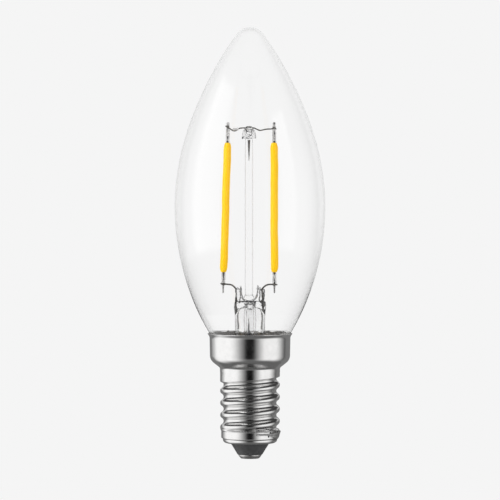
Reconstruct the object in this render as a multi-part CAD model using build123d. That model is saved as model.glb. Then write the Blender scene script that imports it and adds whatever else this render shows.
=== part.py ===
"""Candle-shaped LED filament bulb with a small Edison screw cap (14 mm thread), in millimetres.

The axis of the bulb is +Z. The origin is the middle of the centre contact's flat, so the cap is below the
glass, as the photograph shows it. -Y is the front. Each piece goes to parts/NAME.step.
"""

from build123d import *
import math
import os

# Bulb glass: its greatest radius, the tangent arcs of its outline in shares of it, and its wall
BULB_R = 17.5
EQUATOR_ABOVE_RIM = 1.677 * BULB_R
UPPER_BELLY_ARC = 3.154 * BULB_R
UPPER_BELLY_TURN = 17.22
FLANK_ARC = 4.669 * BULB_R
NOSE_ARC = 0.2206 * BULB_R
LOWER_BELLY_ARC = 3.28 * BULB_R
GLASS_WALL = 0.6
GLASS_NECK_R = 0.4343 * BULB_R
NECK_STRAIGHT = 0.9
NECK_ABOVE_SHOULDER = 0.85

# Cap: one drawn and rolled sheet
SHEET = 0.3
THREAD_R = 13.89 / 2
PITCH = 2.822
THREAD_DEPTH = 0.8
BAND_R = THREAD_R - 0.245
BAND_STEP = 0.37
CURL_REACH = 2.2
EDGE_R = BAND_R - CURL_REACH
SHOULDER_CORNER = 0.85
SHOULDER_NECK_FILLET = 0.35
LIP_FILLET = 0.8
CURL_FILLET = 0.9
CURL_RISE = 0.2
SKIRT_TAPER = 0.11
SKIRT_GAP = 0.1
LIP_GAP = 0.12
NECK_RING = 0.035

# Heights of the cap, from the contact up
CONTACT_RISE = 0.9
CONE_HEIGHT = 2.6
CURL_HEIGHT = 1.5
BAND_HEIGHT = 1.6
THREAD_LENGTH = 11.7
NECK_HEIGHT = 2.7
SHOULDER_HEIGHT = 1.95
SKIRT_HEIGHT = 5.4
LIP_HEIGHT = 0.7
FIRST_CREST_RISE = 0.65
NECK_EDGE_TILT = 0.6
THREAD_RUN_OUT = 0.5
SECTIONS_PER_PITCH = 12
POINTS_PER_SECTION = 36

# Contact and insulator
CONTACT_FLAT_R = 2.15
CONTACT_R = 2.7
CONTACT_CHAMFER = 0.45
CONTACT_SHANK_R = 0.95
CONTACT_SHANK_HEIGHT = 2.5
CONTACT_PLATE = 0.4
INSULATOR_FOOT_R = 2.9
INSULATOR_FLANGE_R = BAND_R - 0.8
INSULATOR_FLANGE_HEIGHT = 1.5
INSULATOR_FLANGE_RISE = 0.4
CEMENT_HEIGHT = 4.0
CEMENT_BELOW_LIP = 0.1

# Stem: flare tube, press with its two ears, exhaust tube, rod and bead
FLARE_R = 3.5
FLARE_WALL = 0.5
PRESS_R = 3.7
PRESS_HALF_THICKNESS = 1.6
PRESS_TOP_ABOVE_RIM = 7.35
PRESS_HEIGHT = 1.2
PRESS_SLOPE = 2.0
PRESS_WALL = 0.6
ARCH_RISE = 2.2
EAR_R = 0.66
EAR_X = 2.77
EAR_HEIGHT = 3.0
EAR_ROUND = 0.3
EXHAUST_R = 1.35
EXHAUST_BORE_R = 0.85
EXHAUST_SEAT = 0.5
EXHAUST_TIP_DROP = 3.75
EXHAUST_TAPER = 1.9
BLOW_HOLE_R = 0.45
ROD_X = -0.24
ROD_R = 0.93
ROD_FOOT_R = 1.2
ROD_FOOT_HEIGHT = 1.3
BEAD_R = 0.8
BEAD_HEIGHT = 3.0
BEAD_ABOVE_WIRE = 0.25
HOOD_R = 1.6
HOOD_WALL = 0.35
HOOD_DROP = 2.4
PIN_R = 0.21
PIN_TIP_R = 0.04
PIN_LENGTH = 4.8

# Filaments, tabs and wires
COAT_R = 0.86
COAT_LENGTH = 30.3
COAT_ROUND = 0.4
STRIP_WIDTH = 0.9
STRIP_THICKNESS = 0.35
STRIP_OVERHANG = 0.25
CHIP_COUNT = 24
CHIP_WIDTH = 0.42
CHIP_LENGTH = 0.8
CHIP_THICKNESS = 0.12
CHIP_END_GAP = 0.6
TAB_WIDTH = 0.88
TAB_THICKNESS = 0.15
TAB_LAP = 0.9
TAB_TOP_LENGTH = 4.7
TAB_BOTTOM_LENGTH = 4.9
LEAD_CROSS_BELOW_COAT = 2.85
CROSS_WIRE_ABOVE_COAT = 3.3
LEAD_CROSS_ABOVE_EAR = 0.9
LEFT_FILAMENT_X = -5.68
LEFT_FILAMENT_TILT = 1.73
RIGHT_FILAMENT_X = 5.65
RIGHT_FILAMENT_TILT = -0.1
TOP_WIRE_R = 0.18
LEAD_R = 0.22
WELD_GAP = 0.01
LEAD_BORE_X = 2.65
LEAD_BEND_R = 0.7
LEAD_ENTRY_BEND_R = 2.0
CROSS_WIRE_BEND_R = 0.5

# Each lead: its side, the end of its hook, the start of its bend, and its place in its ear
LEAD_PLACES = {"left": (-1, 7.0, 3.98, 3.15), "right": (1, 6.45, 3.75, 2.95)}

# Dips of the cross wire: x and the height above its level
CROSS_WIRE_DIPS = (
    (-5.75, 0.45), (-4.9, 0.07), (-4.1, -0.55), (-3.3, -0.55), (-2.5, 0.0), (-1.0, 0.04),
    (1.1, -0.02), (2.4, -0.52), (4.0, -0.24), (5.3, -0.18), (6.1, -0.3),
)

# Driver in the screw shell
BOARD_WIDTH = 9.0
BOARD_THICKNESS = 0.8
BOARD_HEIGHT = 10.4
BOARD_LIFT = 0.9
LEAD_LAP = 2.4
RECTIFIER_SIZE = (3.9, 1.4, 4.4)
RECTIFIER_LIFT = 5.6
DRIVER_CHIP_SIZE = (2.9, 1.1, 1.7)
DRIVER_CHIP_PLACE = (-2.4, 1.6)
PACKAGE_FOOT = 0.5
GROOVE_R = 0.3
GROOVE_DROP = 1.2
RESISTOR_R = 0.85
RESISTOR_LENGTH = 4.6
RESISTOR_LIFT = 1.9
RESISTOR_WIRE_R = 0.25
RESISTOR_WIRE_REACH = 0.9
CAPACITOR_R = 2.1
CAPACITOR_ABOVE_RESISTOR = 0.85
CAPACITOR_LENGTH = BOARD_HEIGHT - RESISTOR_LIFT - RESISTOR_R - CAPACITOR_ABOVE_RESISTOR - GROOVE_R
LIVE_R = 0.3
NEUTRAL_R = 0.2
NEUTRAL_HOLE_GAP = 0.08
NEUTRAL_TURN = 62.0
NEUTRAL_END_TURN = 13.0
NEUTRAL_ABOVE_BAND = 0.95
NEUTRAL_BENDS = (0.6, 0.5, 3.0)
BOARD_LEAD_LAP = 2.2
LIVE_BEND_R = 3.0
SOLDER_LIFT = 0.55

# Solder lump: its outline as (depth from its face, share of its height), and its sections around the
# shell as (turn from the front, foot raised, crown raised, face proud of the band)
SOLDER_OUTLINE = ((1.9, 0.22), (1.5, 0.9), (0, 1), (0.05, 0.67), (0.3, 0.33), (1.1, 0))
SOLDER_SECTIONS = (
    (37, 0.9, -0.1, 0.05),
    (50, 0.4, 0.1, 0.25),
    (66, 0.0, 0.25, 0.38),
    (80, 0.1, 0.4, 0.38),
    (92, 0.8, 0.2, 0.1),
)
WIRE_FIT = 0.02

# Heights worked out from the chain above
INSULATOR_FOOT_Z = CONTACT_RISE
SHELL_BOTTOM_Z = INSULATOR_FOOT_Z + CONE_HEIGHT
BAND_BOTTOM_Z = SHELL_BOTTOM_Z + CURL_HEIGHT
BAND_TOP_Z = BAND_BOTTOM_Z + BAND_HEIGHT
FIRST_CREST_Z = BAND_TOP_Z + FIRST_CREST_RISE
NECK_EDGE_Z = BAND_TOP_Z + THREAD_LENGTH
NECK_TOP_Z = NECK_EDGE_Z + NECK_HEIGHT
NECK_RING_Z = NECK_TOP_Z - SHOULDER_NECK_FILLET * 2.3
SHOULDER_TOP_Z = NECK_TOP_Z + SHOULDER_HEIGHT
SKIRT_TOP_Z = SHOULDER_TOP_Z + SKIRT_HEIGHT
RIM_Z = SKIRT_TOP_Z + LIP_HEIGHT
EQUATOR_Z = RIM_Z + EQUATOR_ABOVE_RIM
NECK_JOIN_Z = SHOULDER_TOP_Z + NECK_ABOVE_SHOULDER
GLASS_END_Z = NECK_JOIN_Z - NECK_STRAIGHT
CEMENT_TOP_Z = SKIRT_TOP_Z - CEMENT_BELOW_LIP
PRESS_TOP_Z = RIM_Z + PRESS_TOP_ABOVE_RIM
EAR_TOP_Z = PRESS_TOP_Z + EAR_HEIGHT
LEAD_CROSS_Z = EAR_TOP_Z + LEAD_CROSS_ABOVE_EAR
FILAMENT_MIDDLE_Z = LEAD_CROSS_Z + LEAD_CROSS_BELOW_COAT + COAT_LENGTH / 2
CROSS_WIRE_Z = FILAMENT_MIDDLE_Z + COAT_LENGTH / 2 + CROSS_WIRE_ABOVE_COAT
BEAD_TOP_Z = CROSS_WIRE_Z + BEAD_ABOVE_WIRE
ROD_TOP_Z = BEAD_TOP_Z - BEAD_HEIGHT
INSULATOR_TOP_Z = SHELL_BOTTOM_Z + INSULATOR_FLANGE_RISE + INSULATOR_FLANGE_HEIGHT
BOARD_BOTTOM_Z = INSULATOR_TOP_Z + BOARD_LIFT
BOARD_TOP_Z = BOARD_BOTTOM_Z + BOARD_HEIGHT
EXHAUST_TIP_Z = SHOULDER_TOP_Z - EXHAUST_TIP_DROP

# Radii and depths worked out from the pieces that they fit
KNUCKLE_R = (PITCH * PITCH / 16 + THREAD_DEPTH * THREAD_DEPTH / 4) / THREAD_DEPTH
GLASS_NECK_BORE_R = GLASS_NECK_R - GLASS_WALL
FLARE_BORE_R = FLARE_R - FLARE_WALL
BOARD_FRONT_Y = LEAD_R + WELD_GAP
TAB_BACK_Y = LEAD_R + WELD_GAP + TAB_THICKNESS
FILAMENT_Y = TAB_BACK_Y + STRIP_THICKNESS / 2
CROSS_WIRE_Y = LEAD_R - TOP_WIRE_R


def turned(*corners):
    """A solid of revolution from a closed outline of (radius, height) or (radius, height, fillet)."""
    points = [corner[:2] for corner in corners]
    fillets = [corner[2] if len(corner) > 2 else 0 for corner in corners]
    if any(fillets):
        outline = FilletPolyline(*points, radius=fillets, close=True)
    else:
        outline = Polyline(*points, close=True)
    return revolve(Plane.XZ * make_face(outline), Axis.Z)


def wire(points, radii, radius):
    """A round wire along straight runs joined by tangent arcs."""
    path = FilletPolyline(*points, radius=radii)
    return sweep(Plane(origin=path @ 0, z_dir=path % 0) * Circle(radius), path=path)


def glass_radius(height):
    """Outer radius of the lower belly of the glass at a height."""
    drop = EQUATOR_Z - height
    return BULB_R - LOWER_BELLY_ARC + math.sqrt(LOWER_BELLY_ARC**2 - drop**2)


def glass_outline(inset):
    """Tangent arcs of the glass from its tip to the end of its neck, moved inwards by an inset."""
    upper_centre = Vector(BULB_R - UPPER_BELLY_ARC, EQUATOR_Z)
    turn = math.radians(UPPER_BELLY_TURN)
    step = UPPER_BELLY_ARC - FLANK_ARC
    flank_centre = upper_centre + Vector(step * math.cos(turn), step * math.sin(turn))
    flank_turn = math.degrees(math.acos(-flank_centre.X / (FLANK_ARC - NOSE_ARC)))
    rise = (FLANK_ARC - NOSE_ARC) * math.sin(math.radians(flank_turn))
    nose_centre = Vector(0, flank_centre.Y + rise)
    lower_centre = Vector(BULB_R - LOWER_BELLY_ARC, EQUATOR_Z)
    reach = GLASS_NECK_R - lower_centre.X
    drop = EQUATOR_Z - NECK_JOIN_Z
    neck_arc = (drop**2 + reach**2 - LOWER_BELLY_ARC**2) / (2 * (LOWER_BELLY_ARC - reach))
    lower_turn = math.degrees(math.atan2(drop, reach + neck_arc))
    edges = [
        CenterArc(nose_centre, NOSE_ARC - inset, 90, flank_turn - 90),
        CenterArc(flank_centre, FLANK_ARC - inset, flank_turn, UPPER_BELLY_TURN - flank_turn),
        CenterArc(upper_centre, UPPER_BELLY_ARC - inset, UPPER_BELLY_TURN, -UPPER_BELLY_TURN),
        CenterArc(lower_centre, LOWER_BELLY_ARC - inset, 0, -lower_turn),
        CenterArc((GLASS_NECK_R + neck_arc, NECK_JOIN_Z), neck_arc + inset, 180 - lower_turn, lower_turn),
    ]
    neck_r = GLASS_NECK_R - inset
    edges.append(Line((neck_r, NECK_JOIN_Z), (neck_r, GLASS_END_Z)))
    return edges


def glass_envelope():
    """The blown glass: a shell of even wall, closed at the tip and open at the neck."""
    outer = glass_outline(0)
    inner = glass_outline(GLASS_WALL)
    tip = Line(outer[0] @ 0, inner[0] @ 0)
    end = Line(outer[-1] @ 1, inner[-1] @ 1)
    return revolve(Plane.XZ * make_face(outer + inner + [tip, end]), Axis.Z)


def filled_glass():
    """The space inside the outer surface of the glass."""
    outer = glass_outline(0)
    axis = Line(outer[0] @ 0, (0, GLASS_END_Z))
    end = Line(outer[-1] @ 1, (0, GLASS_END_Z))
    return revolve(Plane.XZ * make_face(outer + [axis, end]), Axis.Z)


def ramp(value):
    """Smooth step from 0 to 1 while a value goes from 0 to 1."""
    held = min(max(value, 0), 1)
    return held * held * (3 - 2 * held)


def knuckle(turns, inset):
    """Depth of the rolled thread below its crest, a number of pitches from it: two tangent arcs."""
    away = abs(turns - round(turns)) * PITCH
    crest_arc = KNUCKLE_R - inset
    root_arc = KNUCKLE_R + inset
    if away < PITCH / 4 * crest_arc / KNUCKLE_R:
        return crest_arc - math.sqrt(crest_arc**2 - away**2)
    return THREAD_DEPTH - root_arc + math.sqrt(root_arc**2 - (PITCH / 2 - away) ** 2)


def thread_section(height, inset):
    """Closed curve of the rolled thread at a height, from points around it with even parameters."""
    points = []
    for index in range(POINTS_PER_SECTION):
        share = index / POINTS_PER_SECTION
        angle = 2 * math.pi * share + math.pi / 2
        turns = (height - FIRST_CREST_Z) / PITCH - (share + 0.25 - 0.5)
        neck_edge = NECK_EDGE_Z + NECK_EDGE_TILT * math.cos(angle)
        depth = knuckle(turns, inset)
        depth *= ramp((height - BAND_TOP_Z) / THREAD_RUN_OUT)
        depth *= ramp((neck_edge - height) / THREAD_RUN_OUT + 0.5)
        swell = ramp((height - BAND_TOP_Z) / THREAD_RUN_OUT + 0.5)
        radius = BAND_R + (THREAD_R - BAND_R) * swell - inset - depth
        points.append(Vector(radius * math.cos(angle), radius * math.sin(angle), height))
    shares = [index / POINTS_PER_SECTION for index in range(POINTS_PER_SECTION + 1)]
    return Face(Wire([Edge.make_spline(points, periodic=True, parameters=shares)]))


def thread_body(inset):
    """Solid bounded by the thread's surface, from the band's lower edge to the ring on the neck."""
    length = NECK_RING_Z - BAND_BOTTOM_Z
    count = round(length / PITCH * SECTIONS_PER_PITCH)
    levels = [BAND_BOTTOM_Z + length * index / count for index in range(count + 1)]
    return loft([thread_section(level, inset) for level in levels])


def cap_upper():
    """Skirt with its flared lip, shoulder and the top of the neck."""
    lean = math.atan2(glass_radius(RIM_Z) - glass_radius(SKIRT_TOP_Z), LIP_HEIGHT)
    lip_r = glass_radius(RIM_Z) + LIP_GAP
    skirt_r = glass_radius(SKIRT_TOP_Z) + SKIRT_GAP
    foot_r = skirt_r - SKIRT_TAPER
    neck_r = THREAD_R + NECK_RING - SHEET
    slope = SHOULDER_HEIGHT / (foot_r - neck_r)
    lift = SHEET * (math.hypot(1, slope) - slope)
    bend = SHEET * math.tan(lean / 2)
    round_edge = SHEET * 0.45
    return turned(
        (neck_r, NECK_RING_Z),
        (neck_r, NECK_TOP_Z + lift, SHOULDER_NECK_FILLET + SHEET),
        (foot_r, SHOULDER_TOP_Z + lift, SHOULDER_CORNER - SHEET),
        (skirt_r, SKIRT_TOP_Z + bend, LIP_FILLET + SHEET),
        (lip_r, RIM_Z, round_edge),
        (lip_r + SHEET / math.cos(lean), RIM_Z, round_edge),
        (skirt_r + SHEET, SKIRT_TOP_Z, LIP_FILLET),
        (foot_r + SHEET, SHOULDER_TOP_Z, SHOULDER_CORNER),
        (neck_r + SHEET, NECK_TOP_Z, SHOULDER_NECK_FILLET),
        (neck_r + SHEET, NECK_RING_Z),
    )


def cap_lower():
    """The curl that closes in under the band and grips the insulator."""
    top_r = BAND_R - NECK_RING
    low_r = BAND_R - BAND_STEP
    corner_z = SHELL_BOTTOM_Z + CURL_RISE
    return turned(
        (top_r, BAND_BOTTOM_Z),
        (top_r, BAND_BOTTOM_Z - SHEET / 2),
        (low_r, BAND_BOTTOM_Z - SHEET * 1.3),
        (low_r, corner_z, CURL_FILLET),
        (EDGE_R, SHELL_BOTTOM_Z),
        (EDGE_R, SHELL_BOTTOM_Z + SHEET),
        (low_r - SHEET, corner_z + SHEET, CURL_FILLET - SHEET),
        (low_r - SHEET, BAND_BOTTOM_Z - SHEET * 0.7),
        (top_r - SHEET, BAND_BOTTOM_Z),
    )


def neutral_points():
    """Route of the neutral wire: down the board, out through the band, and back around it."""
    height = BAND_BOTTOM_Z + NEUTRAL_ABOVE_BAND
    board_x = BOARD_WIDTH / 2 - 1
    y = BOARD_FRONT_Y - WELD_GAP - NEUTRAL_R
    points = [(board_x, y, BOARD_BOTTOM_Z + BOARD_LEAD_LAP), (board_x, y, height)]
    half = math.radians((NEUTRAL_TURN - NEUTRAL_END_TURN) / 4)
    clear = (BAND_R + NEUTRAL_R + WIRE_FIT) / math.cos(half)
    for step in range(3):
        turn = math.radians(NEUTRAL_TURN) - step * 2 * half
        points.append((clear * math.sin(turn), -clear * math.cos(turn), height))
    return points


def neutral_lead():
    """The wire end that is brought out through the shell and soldered to it."""
    return wire(neutral_points(), NEUTRAL_BENDS, NEUTRAL_R)


def cap_shell():
    """The one-piece cap: skirt, neck, rolled thread and curl, with the hole for the neutral wire."""
    shell = cap_upper() + (thread_body(0) - thread_body(SHEET)) + cap_lower()
    inside, outside = [Vector(*point) for point in neutral_points()[1:3]]
    way = outside - inside
    start = inside + way * 0.4
    drill = Plane(origin=start, z_dir=way) * Cylinder(
        NEUTRAL_R + NEUTRAL_HOLE_GAP, way.length, align=(Align.CENTER, Align.CENTER, Align.MIN)
    )
    return shell - drill


def capping_cement(shell):
    """The ring of cement between the neck of the glass and the inside of the skirt."""
    low = CEMENT_TOP_Z - CEMENT_HEIGHT
    ring = turned(
        (GLASS_NECK_BORE_R, low),
        (glass_radius(CEMENT_TOP_Z) + SKIRT_GAP + SHEET / 2, low),
        (glass_radius(CEMENT_TOP_Z) + SKIRT_GAP + SHEET / 2, CEMENT_TOP_Z),
        (GLASS_NECK_BORE_R, CEMENT_TOP_Z),
    )
    return ring - shell - filled_glass()


def cap_insulator(shell):
    """The dark glass cone that carries the contact, moulded into the curl."""
    body = turned(
        (CONTACT_SHANK_R, INSULATOR_FOOT_Z),
        (INSULATOR_FOOT_R, INSULATOR_FOOT_Z),
        (EDGE_R, SHELL_BOTTOM_Z),
        (INSULATOR_FLANGE_R, SHELL_BOTTOM_Z + INSULATOR_FLANGE_RISE),
        (INSULATOR_FLANGE_R, INSULATOR_TOP_Z),
        (CONTACT_SHANK_R, INSULATOR_TOP_Z),
    )
    return body - shell


def centre_contact():
    """The contact: a shallow dish with a hollow shank that goes up through the insulator."""
    bore = LIVE_R + WIRE_FIT
    shank_top = CONTACT_RISE + CONTACT_SHANK_HEIGHT
    return turned(
        (0, 0),
        (CONTACT_FLAT_R, 0),
        (CONTACT_R - CONTACT_CHAMFER / 3, CONTACT_CHAMFER),
        (CONTACT_R, CONTACT_CHAMFER * 1.6),
        (CONTACT_R, CONTACT_RISE),
        (CONTACT_SHANK_R, CONTACT_RISE),
        (CONTACT_SHANK_R, shank_top),
        (bore, shank_top),
        (bore, CONTACT_PLATE),
        (0, CONTACT_PLATE),
    )


def press_wedge(inset):
    """A block with sloping sides that flattens the top of the flare tube, as the press does."""
    foot = PRESS_TOP_Z - PRESS_HEIGHT - PRESS_SLOPE
    wide = PRESS_R * 1.05 - inset
    thin = PRESS_HALF_THICKNESS - inset
    side = [(wide, GLASS_END_Z - 1), (wide, foot), (thin, foot + PRESS_SLOPE), (thin, PRESS_TOP_Z)]
    outline = side + [(-y, z) for y, z in reversed(side)]
    return extrude(Plane.YZ * make_face(Polyline(*outline, close=True)), PRESS_R * 2, both=True)


def stem_flare(leads):
    """Flare, tube, flattened press and the two ears that the leads come out of: one piece of glass."""
    flare_top = GLASS_END_Z + GLASS_NECK_BORE_R - FLARE_BORE_R
    press_foot = PRESS_TOP_Z - PRESS_HEIGHT - PRESS_SLOPE
    body = turned(
        (0, flare_top), (FLARE_R, flare_top), (FLARE_R, press_foot),
        (PRESS_R, PRESS_TOP_Z - PRESS_HEIGHT), (PRESS_R, PRESS_TOP_Z), (0, PRESS_TOP_Z),
    )
    body = body & press_wedge(0)
    for side in (-1, 1):
        ear = Pos(side * EAR_X, 0, PRESS_TOP_Z - PRESS_HEIGHT / 2) * Cylinder(
            EAR_R, EAR_HEIGHT + PRESS_HEIGHT / 2, align=(Align.CENTER, Align.CENTER, Align.MIN)
        )
        body += fillet(ear.edges().group_by(Axis.Z)[-1], EAR_ROUND)
    arch_z = PRESS_TOP_Z - PRESS_HEIGHT
    shoulder_z = arch_z - ARCH_RISE
    arch_r = (FLARE_BORE_R**2 + ARCH_RISE**2) / (2 * ARCH_RISE)
    lean = math.asin(FLARE_BORE_R / arch_r) / 2
    middle = (arch_r * math.sin(lean), arch_z - arch_r + arch_r * math.cos(lean))
    hollow = make_face([
        Line((0, flare_top), (FLARE_BORE_R, flare_top)),
        Line((FLARE_BORE_R, flare_top), (FLARE_BORE_R, shoulder_z)),
        ThreePointArc((FLARE_BORE_R, shoulder_z), middle, (0, arch_z)),
        Line((0, arch_z), (0, flare_top)),
    ])
    body -= revolve(Plane.XZ * hollow, Axis.Z) & press_wedge(PRESS_WALL)
    centre = (GLASS_NECK_BORE_R, flare_top)
    flare = make_face([
        CenterArc(centre, GLASS_NECK_BORE_R - FLARE_R, 180, 90),
        Line((GLASS_NECK_BORE_R, GLASS_END_Z + FLARE_WALL), (GLASS_NECK_BORE_R, GLASS_END_Z)),
        CenterArc(centre, GLASS_NECK_BORE_R - FLARE_BORE_R, 180, 90),
        Line((FLARE_BORE_R, flare_top), (FLARE_R, flare_top)),
    ])
    body += revolve(Plane.XZ * flare, Axis.Z)
    seat = PRESS_TOP_Z - EXHAUST_SEAT
    depth = seat - press_foot
    body -= Pos(0, 0, seat) * Cylinder(EXHAUST_R, depth, align=(Align.CENTER, Align.CENTER, Align.MAX))
    body -= blow_hole()
    for lead in leads:
        body -= lead
    return body


def blow_hole():
    """The hole at the back of the press through which the bulb was pumped and filled."""
    middle = PRESS_TOP_Z - EXHAUST_SEAT - 2 * BLOW_HOLE_R
    place = Plane(origin=(0, 0, middle), z_dir=(0, 1, 0))
    return place * Cylinder(BLOW_HOLE_R, PRESS_R, align=(Align.CENTER, Align.CENTER, Align.MIN))


def exhaust_tube():
    """The thin tube in the middle of the stem, drawn to a point and sealed below the flare."""
    seat = PRESS_TOP_Z - EXHAUST_SEAT
    tip = EXHAUST_TIP_Z
    tube = turned(
        (EXHAUST_BORE_R, seat), (EXHAUST_R, seat), (EXHAUST_R, tip + EXHAUST_TAPER),
        (EXHAUST_R * 0.8, tip + EXHAUST_TAPER * 0.5), (EXHAUST_R * 0.25, tip + EXHAUST_TAPER * 0.05),
        (0, tip), (0, tip + EXHAUST_TAPER * 0.5),
        (EXHAUST_BORE_R * 0.7, tip + EXHAUST_TAPER * 0.9), (EXHAUST_BORE_R, tip + EXHAUST_TAPER * 1.4),
    )
    return tube - blow_hole()


def anchor_pin():
    """The dark tapered wire end that is sealed in the top of the rod."""
    top = ROD_TOP_Z
    return Pos(ROD_X, 0, 0) * turned((0, top), (PIN_R, top), (PIN_TIP_R, top - PIN_LENGTH), (0, top - PIN_LENGTH))


def stem_rod(pin, cross_wire):
    """The glass rod with its foot, the round bead at its top and the drooping hood of drawn glass."""
    hood_low = BEAD_TOP_Z - HOOD_DROP
    rod = turned(
        (0, PRESS_TOP_Z), (ROD_FOOT_R, PRESS_TOP_Z), (ROD_FOOT_R, PRESS_TOP_Z + ROD_FOOT_HEIGHT * 0.8),
        (ROD_R, PRESS_TOP_Z + ROD_FOOT_HEIGHT), (ROD_R, ROD_TOP_Z),
        (BEAD_R, ROD_TOP_Z + BEAD_HEIGHT * 0.1), (BEAD_R, BEAD_TOP_Z - HOOD_DROP * 0.5),
        (HOOD_R - HOOD_WALL * 1.3, BEAD_TOP_Z - HOOD_DROP * 0.67), (HOOD_R - HOOD_WALL, hood_low),
        (HOOD_R, hood_low), (HOOD_R * 0.94, BEAD_TOP_Z - HOOD_DROP * 0.42),
        (HOOD_R * 0.6, BEAD_TOP_Z - HOOD_DROP * 0.15), (HOOD_R * 0.3, BEAD_TOP_Z), (0, BEAD_TOP_Z),
    )
    return Pos(ROD_X, 0, 0) * rod - pin - cross_wire


def top_cross_wire():
    """The wire through the bead, from tab to tab, with a dip on each side."""
    points = [(x, CROSS_WIRE_Y, CROSS_WIRE_Z + rise) for x, rise in CROSS_WIRE_DIPS]
    return wire(points, [CROSS_WIRE_BEND_R] * (len(points) - 2), TOP_WIRE_R)


def lead_wire(side, hook_x, bend_x, ear_x):
    """A lead from the weld on a lower tab, through an ear of the press, down to the driver board."""
    points = [
        (side * hook_x, 0, LEAD_CROSS_Z),
        (side * bend_x, 0, LEAD_CROSS_Z),
        (side * ear_x, 0, EAR_TOP_Z - LEAD_R / 2),
        (side * ear_x, 0, PRESS_TOP_Z - PRESS_HEIGHT),
        (side * LEAD_BORE_X, 0, PRESS_TOP_Z - PRESS_HEIGHT - PRESS_SLOPE),
        (side * LEAD_BORE_X, 0, BOARD_TOP_Z - LEAD_LAP),
    ]
    bends = (LEAD_BEND_R, LEAD_BEND_R, LEAD_ENTRY_BEND_R, LEAD_ENTRY_BEND_R)
    return wire(points, bends, LEAD_R)


def filament(middle_x, tilt):
    """The pieces of one filament, made upright about its own middle and then set in its place."""
    half = COAT_LENGTH / 2
    front = -STRIP_THICKNESS / 2
    strip = Box(STRIP_WIDTH, STRIP_THICKNESS, COAT_LENGTH + 2 * STRIP_OVERHANG)
    tab_y = front - TAB_THICKNESS / 2
    tabs = []
    for side, length in ((1, TAB_TOP_LENGTH), (-1, TAB_BOTTOM_LENGTH)):
        middle = side * (half + (length - TAB_LAP) / 2)
        tabs.append(Pos(0, tab_y, middle) * Box(TAB_WIDTH, TAB_THICKNESS, length + TAB_LAP))
    chip_span = COAT_LENGTH - 2 * TAB_LAP - CHIP_LENGTH - CHIP_END_GAP
    chip_pitch = chip_span / (CHIP_COUNT - 1)
    chip = Box(CHIP_WIDTH, CHIP_THICKNESS, CHIP_LENGTH)
    chip_y = front - CHIP_THICKNESS / 2
    chips = [Pos(0, chip_y, index * chip_pitch - chip_span / 2) * chip for index in range(CHIP_COUNT)]
    coat = Cylinder(COAT_R, COAT_LENGTH)
    coat = fillet(coat.edges().filter_by(GeomType.CIRCLE), COAT_ROUND)
    for piece in [strip] + tabs + chips:
        coat -= piece
    place = Location((middle_x, FILAMENT_Y, FILAMENT_MIDDLE_Z), (0, tilt, 0))
    return {
        "filament_strip": place * strip,
        "led_chips": place * Compound(children=chips),
        "phosphor_coat": place * coat,
        "filament_tab_top": place * tabs[0],
        "filament_tab_bottom": place * tabs[1],
    }


def driver_board():
    """The upright board of the driver."""
    middle = (BOARD_BOTTOM_Z + BOARD_TOP_Z) / 2
    return Pos(0, BOARD_FRONT_Y + BOARD_THICKNESS / 2, middle) * Box(BOARD_WIDTH, BOARD_THICKNESS, BOARD_HEIGHT)


def board_part(size, x, lift):
    """A moulded component on the board's front: a body with chamfered edges and two feet at each side."""
    width, depth, height = size
    z = BOARD_BOTTOM_Z + lift
    body = chamfer(Box(width, depth, height).edges().group_by(Axis.Y)[0], depth / 5)
    part = Pos(x, BOARD_FRONT_Y - depth / 2 - WELD_GAP, z) * body
    foot = Box(PACKAGE_FOOT, depth / 3, height / 5)
    for side_x in (-1, 1):
        for side_z in (-1, 1):
            foot_x = x + side_x * (width / 2 + PACKAGE_FOOT * 0.4)
            part += Pos(foot_x, BOARD_FRONT_Y - WELD_GAP - depth / 6, z + side_z * height / 4) * foot
    return part


def smoothing_capacitor():
    """The can that lies upright against the back of the board, with the groove around its top."""
    can = Cylinder(CAPACITOR_R, CAPACITOR_LENGTH)
    can = fillet(can.edges().filter_by(GeomType.CIRCLE), CAPACITOR_R / 8)
    groove = Torus(CAPACITOR_R + GROOVE_R / 3, GROOVE_R)
    can -= Pos(0, 0, CAPACITOR_LENGTH / 2 - GROOVE_DROP) * groove
    back = BOARD_FRONT_Y + BOARD_THICKNESS
    return Pos(0, back + CAPACITOR_R + WELD_GAP, BOARD_TOP_Z - CAPACITOR_LENGTH / 2 - GROOVE_R) * can


def fusible_resistor():
    """The fusible resistor that lies across the lower back of the board, with its two bent wires."""
    back = BOARD_FRONT_Y + BOARD_THICKNESS
    y = back + RESISTOR_R + RESISTOR_WIRE_R
    z = BOARD_BOTTOM_Z + RESISTOR_LIFT
    body = Cylinder(RESISTOR_R, RESISTOR_LENGTH, rotation=(0, 90, 0))
    body = fillet(body.edges().filter_by(GeomType.CIRCLE), RESISTOR_R / 3)
    resistor = Pos(0, y, z) * body
    for side in (-1, 1):
        reach = side * (RESISTOR_LENGTH / 2 + RESISTOR_WIRE_REACH)
        start = (side * (RESISTOR_LENGTH / 2 - RESISTOR_WIRE_R), y, z)
        bend = RESISTOR_WIRE_R * 1.6
        resistor += wire([start, (reach, y, z), (reach, back, z)], [bend], RESISTOR_WIRE_R)
    return resistor


def live_lead():
    """The wire from the board, through the insulator, into the shank of the contact."""
    y = BOARD_FRONT_Y - WELD_GAP - LIVE_R
    points = [
        (0, y, BOARD_BOTTOM_Z + BOARD_LEAD_LAP),
        (0, y, BOARD_BOTTOM_Z),
        (0, 0, CONTACT_RISE + CONTACT_SHANK_HEIGHT + LIVE_R * 4),
        (0, 0, CONTACT_PLATE + WIRE_FIT),
    ]
    return wire(points, [LIVE_BEND_R, LIVE_BEND_R], LIVE_R)


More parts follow.
